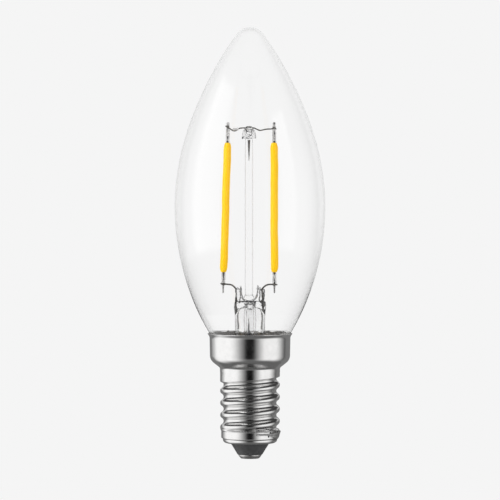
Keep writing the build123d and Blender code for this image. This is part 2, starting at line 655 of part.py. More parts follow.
def filled_foot():
    """The space inside the outer half of the shell's lower end."""
    half = SHEET / 2
    low_r = BAND_R - BAND_STEP - half
    return turned(
        (0, SHELL_BOTTOM_Z + half),
        (EDGE_R, SHELL_BOTTOM_Z + half),
        (low_r, SHELL_BOTTOM_Z + half + CURL_RISE, CURL_FILLET - half),
        (low_r, BAND_BOTTOM_Z - SHEET),
        (BAND_R - half, BAND_BOTTOM_Z),
        (BAND_R - half, BAND_TOP_Z + PITCH / 2),
        (0, BAND_TOP_Z + PITCH / 2),
    )


def solder_section(turn, low, high, proud):
    """A rounded closed section of the solder lump, in the half plane through the axis at a turn."""
    angle = math.radians(turn)
    across = Vector(math.sin(angle), -math.cos(angle), 0)
    outer = BAND_R + proud
    points = [
        across * (outer - depth) + Vector(0, 0, low + share * (high - low)) for depth, share in SOLDER_OUTLINE
    ]
    shares = [index / len(points) for index in range(len(points) + 1)]
    return Face(Wire([Edge.make_spline(points, periodic=True, parameters=shares)]))


def side_solder(shell, lead):
    """The lump of solder that joins the neutral wire to the lower edge of the shell."""
    top = BAND_BOTTOM_Z + NEUTRAL_ABOVE_BAND + NEUTRAL_R
    low = SHELL_BOTTOM_Z + SOLDER_LIFT
    lump = loft([
        solder_section(turn, low + raised, top + crown, proud)
        for turn, raised, crown, proud in SOLDER_SECTIONS
    ])
    return lump - filled_foot() - shell - lead


def build_parts():
    """All pieces of the bulb by name."""
    shell = cap_shell()
    neutral = neutral_lead()
    leads = {f"lead_wire_{name}": lead_wire(*place) for name, place in LEAD_PLACES.items()}
    pin = anchor_pin()
    cross_wire = top_cross_wire()
    parts = {
        "glass_envelope": glass_envelope(),
        "stem_flare": stem_flare(leads.values()),
        "exhaust_tube": exhaust_tube(),
        "stem_rod": stem_rod(pin, cross_wire),
        "anchor_pin": pin,
        "top_cross_wire": cross_wire,
        **leads,
        "cap_shell": shell,
        "capping_cement": capping_cement(shell),
        "cap_insulator": cap_insulator(shell),
        "centre_contact": centre_contact(),
        "neutral_lead": neutral,
        "side_solder": side_solder(shell, neutral),
        "live_lead": live_lead(),
        "driver_board": driver_board(),
        "bridge_rectifier": board_part(RECTIFIER_SIZE, 0, RECTIFIER_LIFT),
        "driver_chip": board_part(DRIVER_CHIP_SIZE, *DRIVER_CHIP_PLACE),
        "smoothing_capacitor": smoothing_capacitor(),
        "fusible_resistor": fusible_resistor(),
    }
    for name, middle_x, tilt in (
        ("left", LEFT_FILAMENT_X, LEFT_FILAMENT_TILT),
        ("right", RIGHT_FILAMENT_X, RIGHT_FILAMENT_TILT),
    ):
        for piece, solid in filament(middle_x, tilt).items():
            parts[f"{piece}_{name}"] = solid
    return parts


os.makedirs("parts", exist_ok=True)
for node, shape in build_parts().items():
    export_step(shape, f"parts/{node}.step")
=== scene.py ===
"""Looks of the candle-shaped LED filament bulb: finishes, fine pieces, studio light and camera.

Lengths are in millimetres in the dataclass fields and become metres, in the CAD frame, when a mesh is made.
The bulb's axis is +Z, the middle of the contact is the origin, and -Y is the front.
"""

import logging
import math
from collections.abc import Callable
from dataclasses import dataclass, field
from enum import Enum

import bpy
import numpy as np
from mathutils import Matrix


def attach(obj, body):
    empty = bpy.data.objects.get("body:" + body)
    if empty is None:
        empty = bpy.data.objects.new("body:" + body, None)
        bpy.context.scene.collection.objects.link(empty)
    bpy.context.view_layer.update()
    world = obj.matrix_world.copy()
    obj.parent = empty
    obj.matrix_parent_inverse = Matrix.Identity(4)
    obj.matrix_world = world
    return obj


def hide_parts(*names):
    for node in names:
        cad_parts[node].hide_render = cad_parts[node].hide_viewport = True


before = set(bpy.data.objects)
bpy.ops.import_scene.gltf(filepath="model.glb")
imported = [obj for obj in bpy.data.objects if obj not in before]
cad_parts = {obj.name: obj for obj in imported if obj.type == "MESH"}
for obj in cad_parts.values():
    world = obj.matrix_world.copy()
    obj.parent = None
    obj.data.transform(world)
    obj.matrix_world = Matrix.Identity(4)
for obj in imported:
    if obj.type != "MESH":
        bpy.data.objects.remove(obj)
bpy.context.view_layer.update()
LOG = logging.getLogger("bulb")
MM = 0.001
SOFTEN_ROUNDS = 3
CARD_ROWS = 13
CARD_COLUMNS = 25
Socket = bpy.types.NodeSocket
Shell = tuple[np.ndarray, list]
Colour = tuple[float, float, float, float]


def soften(points: np.ndarray | tuple | list) -> np.ndarray:
    """Cuts the corners of an open line, which tends to a quadratic B-spline through its middles.

    Each round puts points at a quarter and three quarters of every run and keeps both ends.

    Args:
        points: Rows of shape (n, d).

    Returns:
        The denser array.
    """
    line = np.asarray(points, float)
    for _ in range(SOFTEN_ROUNDS):
        near = line[:-1] * 0.75 + line[1:] * 0.25
        far = line[:-1] * 0.25 + line[1:] * 0.75
        inner = np.stack([near, far], axis=1).reshape(-1, line.shape[1])
        line = np.vstack([line[:1], inner, line[-1:]])
    return line


def smooth_path(corners: tuple | list, count: int) -> tuple[np.ndarray, float]:
    """A softened line in points spaced evenly by length along it, by linear interpolation.

    Args:
        corners: Rows (x, y, z).
        count: Number of points wanted.

    Returns:
        Array of shape (count, 3), and the line's length.
    """
    line = soften(corners)
    steps = np.linalg.norm(np.diff(line, axis=0), axis=1)
    travelled = np.concatenate([[0.0], np.cumsum(steps)])
    wanted = np.linspace(0.0, travelled[-1], count)
    path = np.stack([np.interp(wanted, travelled, column) for column in line.T], axis=1)
    return path, float(np.linalg.norm(np.diff(path, axis=0), axis=1).sum())


def ripple(values: np.ndarray, seed: int, octaves: int = 4) -> np.ndarray:
    """Smooth repeatable unevenness: a sum of sines whose pitch halves and whose height falls by 0.6.

    Args:
        values: Places, any shape, where 1 is about one wave.
        seed: Chooses the phases.
        octaves: Number of sines.

    Returns:
        Array of the same shape, between about -1 and 1.
    """
    phases = np.random.default_rng(seed).uniform(0, 2 * math.pi, octaves)
    waves = [0.6**k * np.sin(values * 2 * math.pi * 1.9**k + phases[k]) for k in range(octaves)]
    return np.sum(waves, axis=0) / 1.6


def ripple_round(columns: int, waves: float, seed: int, octaves: int = 4) -> np.ndarray:
    """The same unevenness around one turn, as one row for rings of that many columns."""
    return ripple(np.arange(columns) / columns * waves, seed, octaves)[None]


def patchy(values: np.ndarray, seed: int, thin: float, thick: float, shift: float = 0.0) -> np.ndarray:
    """Radii of a strand that comes and goes: thin + thick clip(ripple + shift, 0, 1)."""
    return thin + thick * np.clip(ripple(values, seed) + shift, 0, 1)


def rising(values: np.ndarray, start: float, reach: float) -> np.ndarray:
    """Straight rise from 0 at the start to 1 after the reach, which is negative for a rise downwards."""
    return np.clip((values - start) / reach, 0, 1)


def ramp(values: np.ndarray) -> np.ndarray:
    """Smooth step from 0 to 1 while values go from 0 to 1: 3 v^2 - 2 v^3."""
    held = np.clip(values, 0, 1)
    return held**2 * (3 - 2 * held)


def half_round(distance: np.ndarray, reach: float) -> np.ndarray:
    """Share of the full width near a rounded end: (1 - (1 - s)^2)^0.5, where s is distance / reach."""
    share = np.clip(distance / reach, 0.02, 1)
    return np.sqrt(1 - (1 - share) ** 2)


def round_ended(count: int, radius: float, length: float) -> np.ndarray:
    """Radii along a wire of even thickness whose two ends are rounded off like half a ball."""
    travelled = np.linspace(0, length, count)
    return radius * half_round(np.minimum(travelled, travelled[::-1]), radius)


def wavering(count: int, radius: float, length: float, share: float, waves: float, seed: int) -> np.ndarray:
    """Round-ended radii that swell and sink by a share over a number of waves."""
    return round_ended(count, radius, length) * (1 + share * ripple(np.linspace(0, waves, count), seed))


def rounded(corners: tuple, steps: int = 9) -> np.ndarray:
    """A line whose corners are rounded: from c before to c after each corner by a quadratic Bezier curve.

    Args:
        corners: Rows (radius, height, cut c); the first and the last keep their places.
        steps: Points on each rounded corner.

    Returns:
        Array of shape (n, 2).
    """
    places = np.array([corner[:2] for corner in corners], float)
    line = [places[:1]]
    share = np.linspace(0, 1, steps)[:, None]
    for before, place, after, corner in zip(places, places[1:], places[2:], corners[1:]):
        back = before - place
        ahead = after - place
        start = place + back / np.hypot(*back) * corner[2]
        end = place + ahead / np.hypot(*ahead) * corner[2]
        line.append((1 - share) ** 2 * start + 2 * share * (1 - share) * place + share**2 * end)
    return np.vstack(line + [places[-1:]])


def full_turn(columns: int) -> np.ndarray:
    """Evenly spaced angles of one turn, in radians."""
    return np.arange(columns) * 2 * math.pi / columns


def ring_faces(rows: int, columns: int) -> np.ndarray:
    """Corner numbers of the quads between closed rings: row by row, each joined to the next row.

    Args:
        rows: Number of rings.
        columns: Points in each ring.

    Returns:
        Array of shape (quads, 4).
    """
    row, column = np.meshgrid(np.arange(rows - 1), np.arange(columns), indexing="ij")
    here = row * columns + column
    beside = row * columns + (column + 1) % columns
    return np.stack([here, beside, beside + columns, here + columns], axis=-1).reshape(-1, 4)


def add_object(name: str, data: bpy.types.ID) -> bpy.types.Object:
    """A new object in the scene's own collection."""
    made = bpy.data.objects.new(name, data)
    bpy.context.scene.collection.objects.link(made)
    return made


def mesh_object(name: str, points: np.ndarray, polygons: list) -> bpy.types.Object:
    """A smooth-shaded mesh object at the origin.

    Args:
        name: Name of the piece.
        points: Array of shape (n, 3), in millimetres.
        polygons: Corner numbers of each face.

    Returns:
        The new object.
    """
    mesh = bpy.data.meshes.new(name)
    mesh.from_pydata((points * MM).tolist(), [], polygons)
    mesh.polygons.foreach_set("use_smooth", np.ones(len(mesh.polygons), bool))
    mesh.update()
    return add_object(name, mesh)


def ring_shell(rings: np.ndarray) -> Shell:
    """A closed skin over a stack of rings, with a single point closing each end.

    Args:
        rings: Array of shape (rows, columns, 3), each ring counter-clockwise seen from +Z for a stack
            that goes up.

    Returns:
        The points and the faces, which point outwards.
    """
    rows, columns = rings.shape[:2]
    points = np.vstack([rings.reshape(-1, 3), rings[0].mean(0), rings[-1].mean(0)])
    around = np.arange(columns)
    after = (around + 1) % columns
    low = np.stack([after, around, np.full(columns, rows * columns)], axis=1)
    last = (rows - 1) * columns
    high = np.stack([last + around, last + after, np.full(columns, rows * columns + 1)], axis=1)
    return points, ring_faces(rows, columns).tolist() + low.tolist() + high.tolist()


def ring_loop(rings: np.ndarray, flip: bool = False) -> Shell:
    """A closed skin over rings whose last one leads back to the first.

    Args:
        rings: Array of shape (rows, columns, 3).
        flip: Turns the faces round, for rings that go the other way.

    Returns:
        Points and faces.
    """
    rows, columns = rings.shape[:2]
    faces = ring_faces(rows + 1, columns) % (rows * columns)
    return rings.reshape(-1, 3), (faces[:, ::-1] if flip else faces).tolist()


def merged(shells: list[Shell]) -> Shell:
    """Several skins as one set of points and faces.

    Args:
        shells: Points and faces of each skin.

    Returns:
        Points and faces.
    """
    polygons = []
    offset = 0
    for points, faces in shells:
        polygons.extend([[corner + offset for corner in face] for face in faces])
        offset += len(points)
    return np.vstack([points for points, _ in shells]), polygons


def turned_rings(profile: np.ndarray, columns: int, centre: tuple[float, float] = (0.0, 0.0)) -> np.ndarray:
    """Rings about an upright axis.

    A point is centre + (a cos t, b sin t, z) for each profile row (a, b, z), or (r, z) for round rings.

    Args:
        profile: Array of shape (rows, 2) or (rows, 3).
        columns: Points in each ring.
        centre: Place of the axis in x and y.

    Returns:
        Array of shape (rows, columns, 3).
    """
    if profile.shape[1] == 2:
        profile = profile[:, [0, 0, 1]]
    angle = full_turn(columns)
    x = centre[0] + profile[:, :1] * np.cos(angle)
    y = centre[1] + profile[:, 1:2] * np.sin(angle)
    return np.stack([x, y, np.broadcast_to(profile[:, 2:3], x.shape)], axis=-1)


def tube(path: np.ndarray, radii: np.ndarray, columns: int, side: tuple, flatness: float = 1.0) -> Shell:
    """A closed oval section carried along a path: path + r cos t across + f r sin t up.

    Across is the side direction made square to the path, and up is the cross product of the two.

    Args:
        path: Array of shape (rows, 3).
        radii: Radius r at each step.
        columns: Points around the section.
        side: Rough direction of the section's first axis.
        flatness: Share f of its second axis.

    Returns:
        Points and faces.
    """
    tangent = np.gradient(path, axis=0)
    tangent /= np.linalg.norm(tangent, axis=1, keepdims=True)
    across = np.asarray(side, float) - tangent * (tangent @ np.asarray(side, float))[:, None]
    across /= np.linalg.norm(across, axis=1, keepdims=True)
    up = np.cross(tangent, across)
    angle = full_turn(columns)
    wide = (radii[:, None] * np.cos(angle))[..., None]
    high = ((flatness * radii)[:, None] * np.sin(angle))[..., None]
    return ring_shell(path[:, None] + wide * across[:, None] + high * up[:, None])


def ball(place: tuple, sizes: tuple, columns: int, rows: int) -> Shell:
    """A closed rounded body: place + (a cos t cos u, b sin t cos u, c sin u).

    Args:
        place: Its middle.
        sizes: Half widths a, b and c.
        columns: Points around it.
        rows: Rings from end to end.

    Returns:
        Points and faces.
    """
    lift = np.linspace(-math.pi / 2 + 0.05, math.pi / 2 - 0.05, rows)
    height = place[2] + sizes[2] * np.sin(lift)
    line = np.stack([sizes[0] * np.cos(lift), sizes[1] * np.cos(lift), height], axis=1)
    return ring_shell(turned_rings(line, columns, place[:2]))


def grey(tone: float) -> Colour:
    """An opaque grey of one tone."""
    return (tone, tone, tone, 1)


class Sketch:
    """Short calls that place and join the nodes of one shader tree."""

    def __init__(self, tree: bpy.types.NodeTree) -> None:
        """Takes the tree that the calls add to."""
        self.tree = tree

    def node(self, kind: str, inputs: dict | None = None, **options) -> bpy.types.Node:
        """Adds a node.

        Args:
            kind: Node type without its ShaderNode prefix.
            inputs: Value or source socket for each input, by name or number.
            **options: Properties of the node.

        Returns:
            The node.
        """
        made = self.tree.nodes.new(kind if kind.startswith("Node") else "ShaderNode" + kind)
        for name, value in options.items():
            setattr(made, name, value)
        for name, value in (inputs or {}).items():
            self.feed(made.inputs[name], value)
        return made

    def feed(self, socket: Socket, value: object) -> None:
        """Joins a source socket to an input, or sets the input's value."""
        if isinstance(value, Socket):
            self.tree.links.new(value, socket)
        else:
            socket.default_value = value

    def math(self, operation: str, first: object, second: object = 0.0) -> Socket:
        """One arithmetic step, not clamped."""
        return self.node("Math", {0: first, 1: second}, operation=operation).outputs[0]

    def blend(self, share: object, low: object, high: object) -> Socket:
        """A colour between low and high by a share from 0 to 1."""
        return self.node("Mix", {0: share, 6: low, 7: high}, data_type="RGBA").outputs[2]

    def mix(self, share: Socket, low: Socket, high: Socket) -> Socket:
        """A shader between low and high by a share from 0 to 1."""
        return self.node("MixShader", {0: share, 1: low, 2: high}).outputs[0]

    def spread(self, value: Socket, low: float, high: float, start: float = 0.0, end: float = 1.0) -> Socket:
        """A value from start..end, smoothly moved to low..high."""
        inputs = {"Value": value, "From Min": start, "From Max": end, "To Min": low, "To Max": high}
        return self.node("MapRange", inputs, interpolation_type="SMOOTHSTEP").outputs["Result"]

    def relief(self, shader: bpy.types.Node, strength: float, distance: float, height: Socket) -> None:
        """Gives a shader a bump of that strength and distance from a height."""
        bump = self.node("Bump", {"Strength": strength, "Distance": distance, "Height": height})
        self.feed(shader.inputs["Normal"], bump.outputs["Normal"])

    def rays(self, *kinds: str) -> Socket:
        """1 for a light path's ray that is of one of these kinds, and 0 for any other.

        Args:
            *kinds: Words such as Camera or Shadow, as in the output's name.

        Returns:
            The share's socket.
        """
        path = self.node("LightPath")
        share = path.outputs[f"Is {kinds[0]} Ray"]
        for kind in kinds[1:]:
            share = self.math("MAXIMUM", share, path.outputs[f"Is {kind} Ray"])
        return share

    def distance(self) -> Socket:
        """Distance from the origin on Object coordinates, in metres."""
        coords = self.node("TexCoord").outputs["Object"]
        return self.node("VectorMath", {0: coords}, operation="LENGTH").outputs["Value"]


class Effect(Enum):
    """The shared effects, each a node group that is built once."""

    MOTTLE = "soft mottle"
    LINES = "drawing lines"
    SPECKS = "fine specks"


def mottle_tree(sketch: Sketch, coords: Socket, scale: Socket) -> Socket:
    """Cloudy unevenness: three octaves of noise."""
    noise = sketch.node("TexNoise", {"Vector": coords, "Scale": scale, "Detail": 3.0, "Roughness": 0.6})
    return sketch.spread(noise.outputs["Fac"], 0.0, 1.0, 0.3, 0.7)


def lines_tree(sketch: Sketch, coords: Socket, scale: Socket) -> Socket:
    """Fine lines that run around the axis, as drawing and rolling leave: noise stretched 60 times."""
    squeezed = sketch.node("Mapping", {"Vector": coords, "Scale": (0.05, 0.05, 3.0)}).outputs[0]
    noise = sketch.node("TexNoise", {"Vector": squeezed, "Scale": scale, "Detail": 4.0, "Roughness": 0.7})
    return noise.outputs["Fac"]


def specks_tree(sketch: Sketch, coords: Socket, scale: Socket) -> Socket:
    """Small grains: the inner parts of the cells of a Voronoi pattern."""
    cells = sketch.node("TexVoronoi", {"Vector": coords, "Scale": scale, "Randomness": 1.0})
    return sketch.spread(cells.outputs["Distance"], 1.0, 0.0, 0.12, 0.42)


def effect_group(effect: Effect) -> bpy.types.NodeTree:
    """The node group of an effect, built the first time that it is asked for.

    Args:
        effect: Which effect.

    Returns:
        A group with the inputs Vector and Scale and the output Value.
    """
    if effect.value in bpy.data.node_groups:
        return bpy.data.node_groups[effect.value]
    group = bpy.data.node_groups.new(effect.value, "ShaderNodeTree")
    sockets = (("Vector", "INPUT", "Vector"), ("Scale", "INPUT", "Float"), ("Value", "OUTPUT", "Float"))
    for name, way, kind in sockets:
        group.interface.new_socket(name, in_out=way, socket_type="NodeSocket" + kind)
    sketch = Sketch(group)
    taken = sketch.node("NodeGroupInput").outputs
    given = sketch.node("NodeGroupOutput").inputs
    trees = {Effect.MOTTLE: mottle_tree, Effect.LINES: lines_tree, Effect.SPECKS: specks_tree}
    sketch.feed(given["Value"], trees[effect](sketch, taken["Vector"], taken["Scale"]))
    return group


def effect_value(sketch: Sketch, effect: Effect, scale: float) -> Socket:
    """Places an effect on Object coordinates in a material, at a scale in cells a metre."""
    inputs = {"Vector": sketch.node("TexCoord").outputs["Object"], "Scale": scale}
    return sketch.node("Group", inputs, node_tree=effect_group(effect)).outputs["Value"]


def new_material(name: str) -> tuple[bpy.types.Material, Sketch, bpy.types.Node, bpy.types.Node]:
    """An empty node material.

    Args:
        name: Name of the material.

    Returns:
        The material, its sketch, its Principled shader and its output node.
    """
    material = bpy.data.materials.new(name)
    material.use_nodes = True
    material.node_tree.nodes.clear()
    sketch = Sketch(material.node_tree)
    shader = sketch.node("BsdfPrincipled")
    output = sketch.node("OutputMaterial")
    sketch.feed(output.inputs["Surface"], shader.outputs["BSDF"])
    return material, sketch, shader, output


@dataclass(frozen=True)
class GlassFinish:
    """Clear glass whose base colour darkens towards the rim: partly the longer way through it, partly painted
    shade for the dark outlines that its surroundings give it.
    """

    name: str
    edge_tone: float
    edge_start: float
    edge_end: float
    tone: float = 0.985
    ior: float = 1.5
    sheen: float = 1.0
    unevenness: float = 0.0
    haze: float = 0.004
    wave_height: float = 0.0002
    cloud_scale: float = 900.0

    def material(self) -> bpy.types.Material:
        """Builds the material: light for shadows passes straight through it."""
        material, sketch, shader, output = new_material(self.name)
        # Painted shade: the base colour darkens towards the rim by the Layer Weight's facing.
        facing = sketch.node("LayerWeight", {"Blend": 0.5}).outputs["Facing"]
        rim = sketch.spread(facing, 0.0, 1.0, self.edge_start, self.edge_end)
        sketch.feed(shader.inputs["Base Color"], sketch.blend(rim, grey(self.tone), grey(self.edge_tone)))
        shader.inputs["Transmission Weight"].default_value = 1.0
        shader.inputs["IOR"].default_value = self.ior
        shader.inputs["Specular Tint"].default_value = grey(self.sheen)
        shader.inputs["Roughness"].default_value = 0.0
        if self.haze:
            smear = effect_value(sketch, Effect.MOTTLE, self.cloud_scale)
            sketch.feed(shader.inputs["Roughness"], sketch.spread(smear, 0.0, self.haze))
        if self.unevenness:
            waves = effect_value(sketch, Effect.MOTTLE, self.cloud_scale)
            sketch.relief(shader, self.unevenness, self.wave_height, waves)
        clear = sketch.node("BsdfTransparent").outputs["BSDF"]
        mixed = sketch.mix(sketch.rays("Shadow", "Diffuse"), shader.outputs["BSDF"], clear)
        sketch.feed(output.inputs["Surface"], mixed)
        return material


@dataclass(frozen=True)
class MetalFinish:
    """Metal with cloudy gloss and fine drawing lines."""

    name: str
    tone: tuple[float, float, float]
    roughness: tuple[float, float]
    line_height: float
    stain: float = 0.9
    mottle_scale: float = 700.0
    line_scale: float = 2500.0
    line_depth: float = 0.00002

    def material(self) -> bpy.types.Material:
        """Builds the material."""
        material, sketch, shader, _ = new_material(self.name)
        clouds = effect_value(sketch, Effect.MOTTLE, self.mottle_scale)
        lines = effect_value(sketch, Effect.LINES, self.line_scale)
        darker = tuple(channel * self.stain for channel in self.tone)
        sketch.feed(shader.inputs["Base Color"], sketch.blend(clouds, (*darker, 1), (*self.tone, 1)))
        shader.inputs["Metallic"].default_value = 1.0
        sketch.feed(shader.inputs["Roughness"], sketch.spread(clouds, self.roughness[1], self.roughness[0]))
        sketch.relief(shader, self.line_height, self.line_depth, lines)
        return material


@dataclass(frozen=True)
class BodyFinish:
    """Silicone, moulded plastic, ceramic, cement or board: a body colour with grains and clouds."""

    name: str
    tone: tuple[float, float, float]
    grain_tone: tuple[float, float, float]
    roughness: tuple[float, float]
    scale: float
    effect: Effect = Effect.MOTTLE
    relief: float = 0.2
    gloss: float = 0.5
    grain_depth: float = 0.00005

    def material(self) -> bpy.types.Material:
        """Builds the material."""
        material, sketch, shader, _ = new_material(self.name)
        grain = effect_value(sketch, self.effect, self.scale)
        sketch.feed(shader.inputs["Base Color"], sketch.blend(grain, (*self.tone, 1), (*self.grain_tone, 1)))
        sketch.feed(shader.inputs["Roughness"], sketch.spread(grain, self.roughness[0], self.roughness[1]))
        sketch.relief(shader, self.relief, self.grain_depth, grain)
        shader.inputs["Specular IOR Level"].default_value = self.gloss
        return material


# The edge tones paint the darker rims and outlines of the glass pieces as shade.
BULB_GLASS = GlassFinish("clear_blown_glass", 0.86, 0.28, 0.97, tone=1.0, sheen=0.3, haze=0.0)
STEM_GLASS = GlassFinish("clear_stem_glass", 0.05, 0.3, 0.9, unevenness=0.08)
DRAWN_GLASS = GlassFinish("drawn_stem_glass", 0.0, 0.02, 0.36, tone=0.9, unevenness=0.25)
CAP_METAL = MetalFinish("bright_nickel", (0.78, 0.775, 0.77), (0.13, 0.18), 0.1, 0.96)
DARK_WIRE = MetalFinish("dull_drawn_wire", (0.13, 0.12, 0.11), (0.35, 0.5), 0.3, 0.6, 2500.0)
TAB_METAL = MetalFinish("bright_strip", (0.72, 0.71, 0.7), (0.22, 0.4), 0.3, 0.6, 2500.0)
CONTACT_METAL = MetalFinish("pressed_contact", (0.7, 0.69, 0.68), (0.25, 0.38), 0.2, 0.7, 1500.0)
TINNED_WIRE = MetalFinish("tinned_wire", (0.7, 0.7, 0.7), (0.2, 0.35), 0.2, 0.75, 2000.0)
SOLDER = MetalFinish("dull_solder", (0.62, 0.62, 0.61), (0.3, 0.5), 0.6, 0.6, 2200.0)
PHOSPHOR = BodyFinish(
    "yellow_silicone", (1.0, 0.55, 0.0), (1.0, 0.6, 0.0), (0.3, 0.4), 1500.0, relief=0.1, gloss=0.1
)
# Colour of the dark dabs and scale, and also of painted shade: the strands around the cap's wire and the cone
# in the exhaust tube.
DARK_DABS_AND_PAINTED_SHADE = BodyFinish("dark_dabs_and_painted_shade", (0.006, 0.006, 0.012), (0.012, 0.012, 0.02), (0.3, 0.5), 4000.0)
CERAMIC = BodyFinish("white_ceramic", (0.82, 0.8, 0.74), (0.72, 0.7, 0.64), (0.5, 0.6), 3000.0)
CHIP = BodyFinish("chip_face", (0.75, 0.7, 0.4), (0.6, 0.55, 0.3), (0.1, 0.2), 4000.0)
# Cement whose near-black base is partly painted shade in the recess under the skirt's lip; the pale specks
# are the cement's own grain.
CEMENT_AND_SHADE = BodyFinish(
    "dark_cement_with_painted_shade", (0.06, 0.055, 0.05), (0.42, 0.4, 0.38), (0.8, 0.9), 2600.0, Effect.SPECKS, 0.8
)
DARK_GLASS = BodyFinish(
    "dark_insulator_glass", (0.045, 0.045, 0.046), (0.06, 0.06, 0.062), (0.3, 0.42), 1200.0
)
BOARD = BodyFinish("coated_board", (0.03, 0.16, 0.07), (0.04, 0.2, 0.09), (0.25, 0.35), 2500.0)
BLACK_MOULDING = BodyFinish("black_moulding", (0.02, 0.02, 0.02), (0.04, 0.04, 0.04), (0.5, 0.65), 5000.0)
CAN_SLEEVE = BodyFinish("can_sleeve", (0.02, 0.02, 0.04), (0.04, 0.04, 0.07), (0.25, 0.35), 900.0)
LACQUER = BodyFinish("green_lacquer", (0.06, 0.16, 0.12), (0.08, 0.2, 0.15), (0.35, 0.5), 1500.0)

NODE_FINISHES = {
    BULB_GLASS: ["glass_envelope"],
    STEM_GLASS: ["stem_flare", "exhaust_tube", "stem_rod"],
    CAP_METAL: ["cap_shell"],
    DARK_WIRE: ["anchor_pin", "top_cross_wire", "lead_wire_left", "lead_wire_right"],
    TAB_METAL: [f"filament_tab_{end}_{side}" for end in ("top", "bottom") for side in ("left", "right")],
    CONTACT_METAL: ["centre_contact"],
    TINNED_WIRE: ["neutral_lead", "live_lead"],
    SOLDER: ["side_solder"],
    PHOSPHOR: ["phosphor_coat_left", "phosphor_coat_right"],
    CERAMIC: ["filament_strip_left", "filament_strip_right"],
    CHIP: ["led_chips_left", "led_chips_right"],
    CEMENT_AND_SHADE: ["capping_cement"],
    DARK_GLASS: ["cap_insulator"],
    BOARD: ["driver_board"],
    BLACK_MOULDING: ["bridge_rectifier", "driver_chip"],
    CAN_SLEEVE: ["smoothing_capacitor"],
    LACQUER: ["fusible_resistor"],
}
MATERIALS: dict[str, bpy.types.Material] = {}
Finish = GlassFinish | MetalFinish | BodyFinish


def finished(piece: bpy.types.Object, finish: Finish) -> None:
    """Gives a piece one finish, whose material is built once.

    Args:
        piece: New piece or CAD node.
        finish: Its finish.
    """
    if finish.name not in MATERIALS:
        MATERIALS[finish.name] = finish.material()
    piece.data.materials.clear()
    piece.data.materials.append(MATERIALS[finish.name])


def seat(name: str, shell: Shell, finish: Finish, slot: str, *nodes: str) -> None:
    """Makes and dresses a piece, rides it on the bulb and lets it stand for CAD nodes.

    Args:
        name: Name of the piece.
        shell: Its points and faces.
        finish: Its finish.
        slot: The record's material slot; not used.
        *nodes: The CAD nodes that it replaces.
    """
    piece = mesh_object(name, *shell)
    finished(piece, finish)
    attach(piece, "root")
    if nodes:
        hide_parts(*nodes)
    LOG.info("%s: %d faces", piece.name, len(piece.data.polygons))


class Side(Enum):
    """The two sides of the bulb, with the sign of x."""

    LEFT = -1
    RIGHT = 1

    @property
    def label(self) -> str:
        """The name that the CAD nodes use."""
        return self.name.lower()


@dataclass
class BulbGlass:
    """The blown envelope, as a skin of revolution over the same tangent arcs as its solid."""

    radius: float = 17.5
    wall: float = 0.6
    blown_wall: float = 0.3
    thinning: tuple[float, float] = (26.0, 45.0)
    equator: float = 58.3975
    upper_arc: float = 3.154
    upper_turn: float = 17.22
    flank_arc: float = 4.669
    nose_arc: float = 0.2206
    lower_arc: float = 3.28
    neck_radius: float = 7.6
    neck_join: float = 23.8
    neck_end: float = 22.9
    columns: int = 200
    arc_steps: tuple = (16, 50, 20, 50, 20)
    tip_gap: float = 0.02

    def wall_line(self, inset: float) -> np.ndarray:
        """Radius and height from the neck's end up to the tip, along five tangent runs.

        Each arc is centre + (arc - inset)(cos t, sin t); the neck's arc bends the other way, so it
        grows by the inset.

        Args:
            inset: Distance inwards from the outer face.

        Returns:
            Array of shape (n, 2).
        """
        arcs = np.array([self.upper_arc, self.flank_arc, self.nose_arc, self.lower_arc])
        upper, flank, nose, lower = arcs * self.radius
        turn = math.radians(self.upper_turn)
        upper_middle = np.array([self.radius - upper, self.equator])
        flank_middle = upper_middle + (upper - flank) * np.array([math.cos(turn), math.sin(turn)])
        flank_turn = math.acos(-flank_middle[0] / (flank - nose))
        nose_middle = np.array([0.0, flank_middle[1] + (flank - nose) * math.sin(flank_turn)])
        lower_middle = np.array([self.radius - lower, self.equator])
        reach = self.neck_radius - lower_middle[0]
        drop = self.equator - self.neck_join
        neck = (drop**2 + reach**2 - lower**2) / (2 * (lower - reach))
        lower_turn = math.atan2(drop, reach + neck)
        neck_middle = np.array([self.neck_radius + neck, self.neck_join])
        runs = [
            (neck_middle, neck + inset, math.pi, math.pi - lower_turn),
            (lower_middle, lower - inset, -lower_turn, 0.0),
            (upper_middle, upper - inset, 0.0, turn),
            (flank_middle, flank - inset, turn, flank_turn),
            (nose_middle, nose - inset, flank_turn, math.pi / 2 - self.tip_gap),
        ]
        neck_line = [[self.neck_radius - inset, self.neck_end], [self.neck_radius - inset, self.neck_join]]
        arc_lines = [self.arc(*run, steps)[1:] for run, steps in zip(runs, self.arc_steps)]
        return np.vstack([neck_line] + arc_lines)

    @staticmethod
    def arc(middle: np.ndarray, radius: float, start: float, end: float, steps: int) -> np.ndarray:
        """Points middle + radius (cos t, sin t) from one turn to another."""
        turn = np.linspace(start, end, steps)
        return middle + radius * np.stack([np.cos(turn), np.sin(turn)], axis=1)

    def build(self) -> None:
        """One closed skin: down the inside, round the neck's end and up the outside.

        The wall thins from the neck to the blown part: inside = thick (1 - s) + thin s, s = ramp of z.
        """
        outside = self.wall_line(0.0)
        start, end = self.thinning
        share = ramp((outside[:, 1:] - start) / (end - start))
        inside = self.wall_line(self.wall) * (1 - share) + self.wall_line(self.blown_wall) * share
        rings = turned_rings(np.vstack([inside[::-1], outside]), self.columns)
        seat("bulb_glass", ring_shell(rings), BULB_GLASS, "bulb_glass", "glass_envelope")


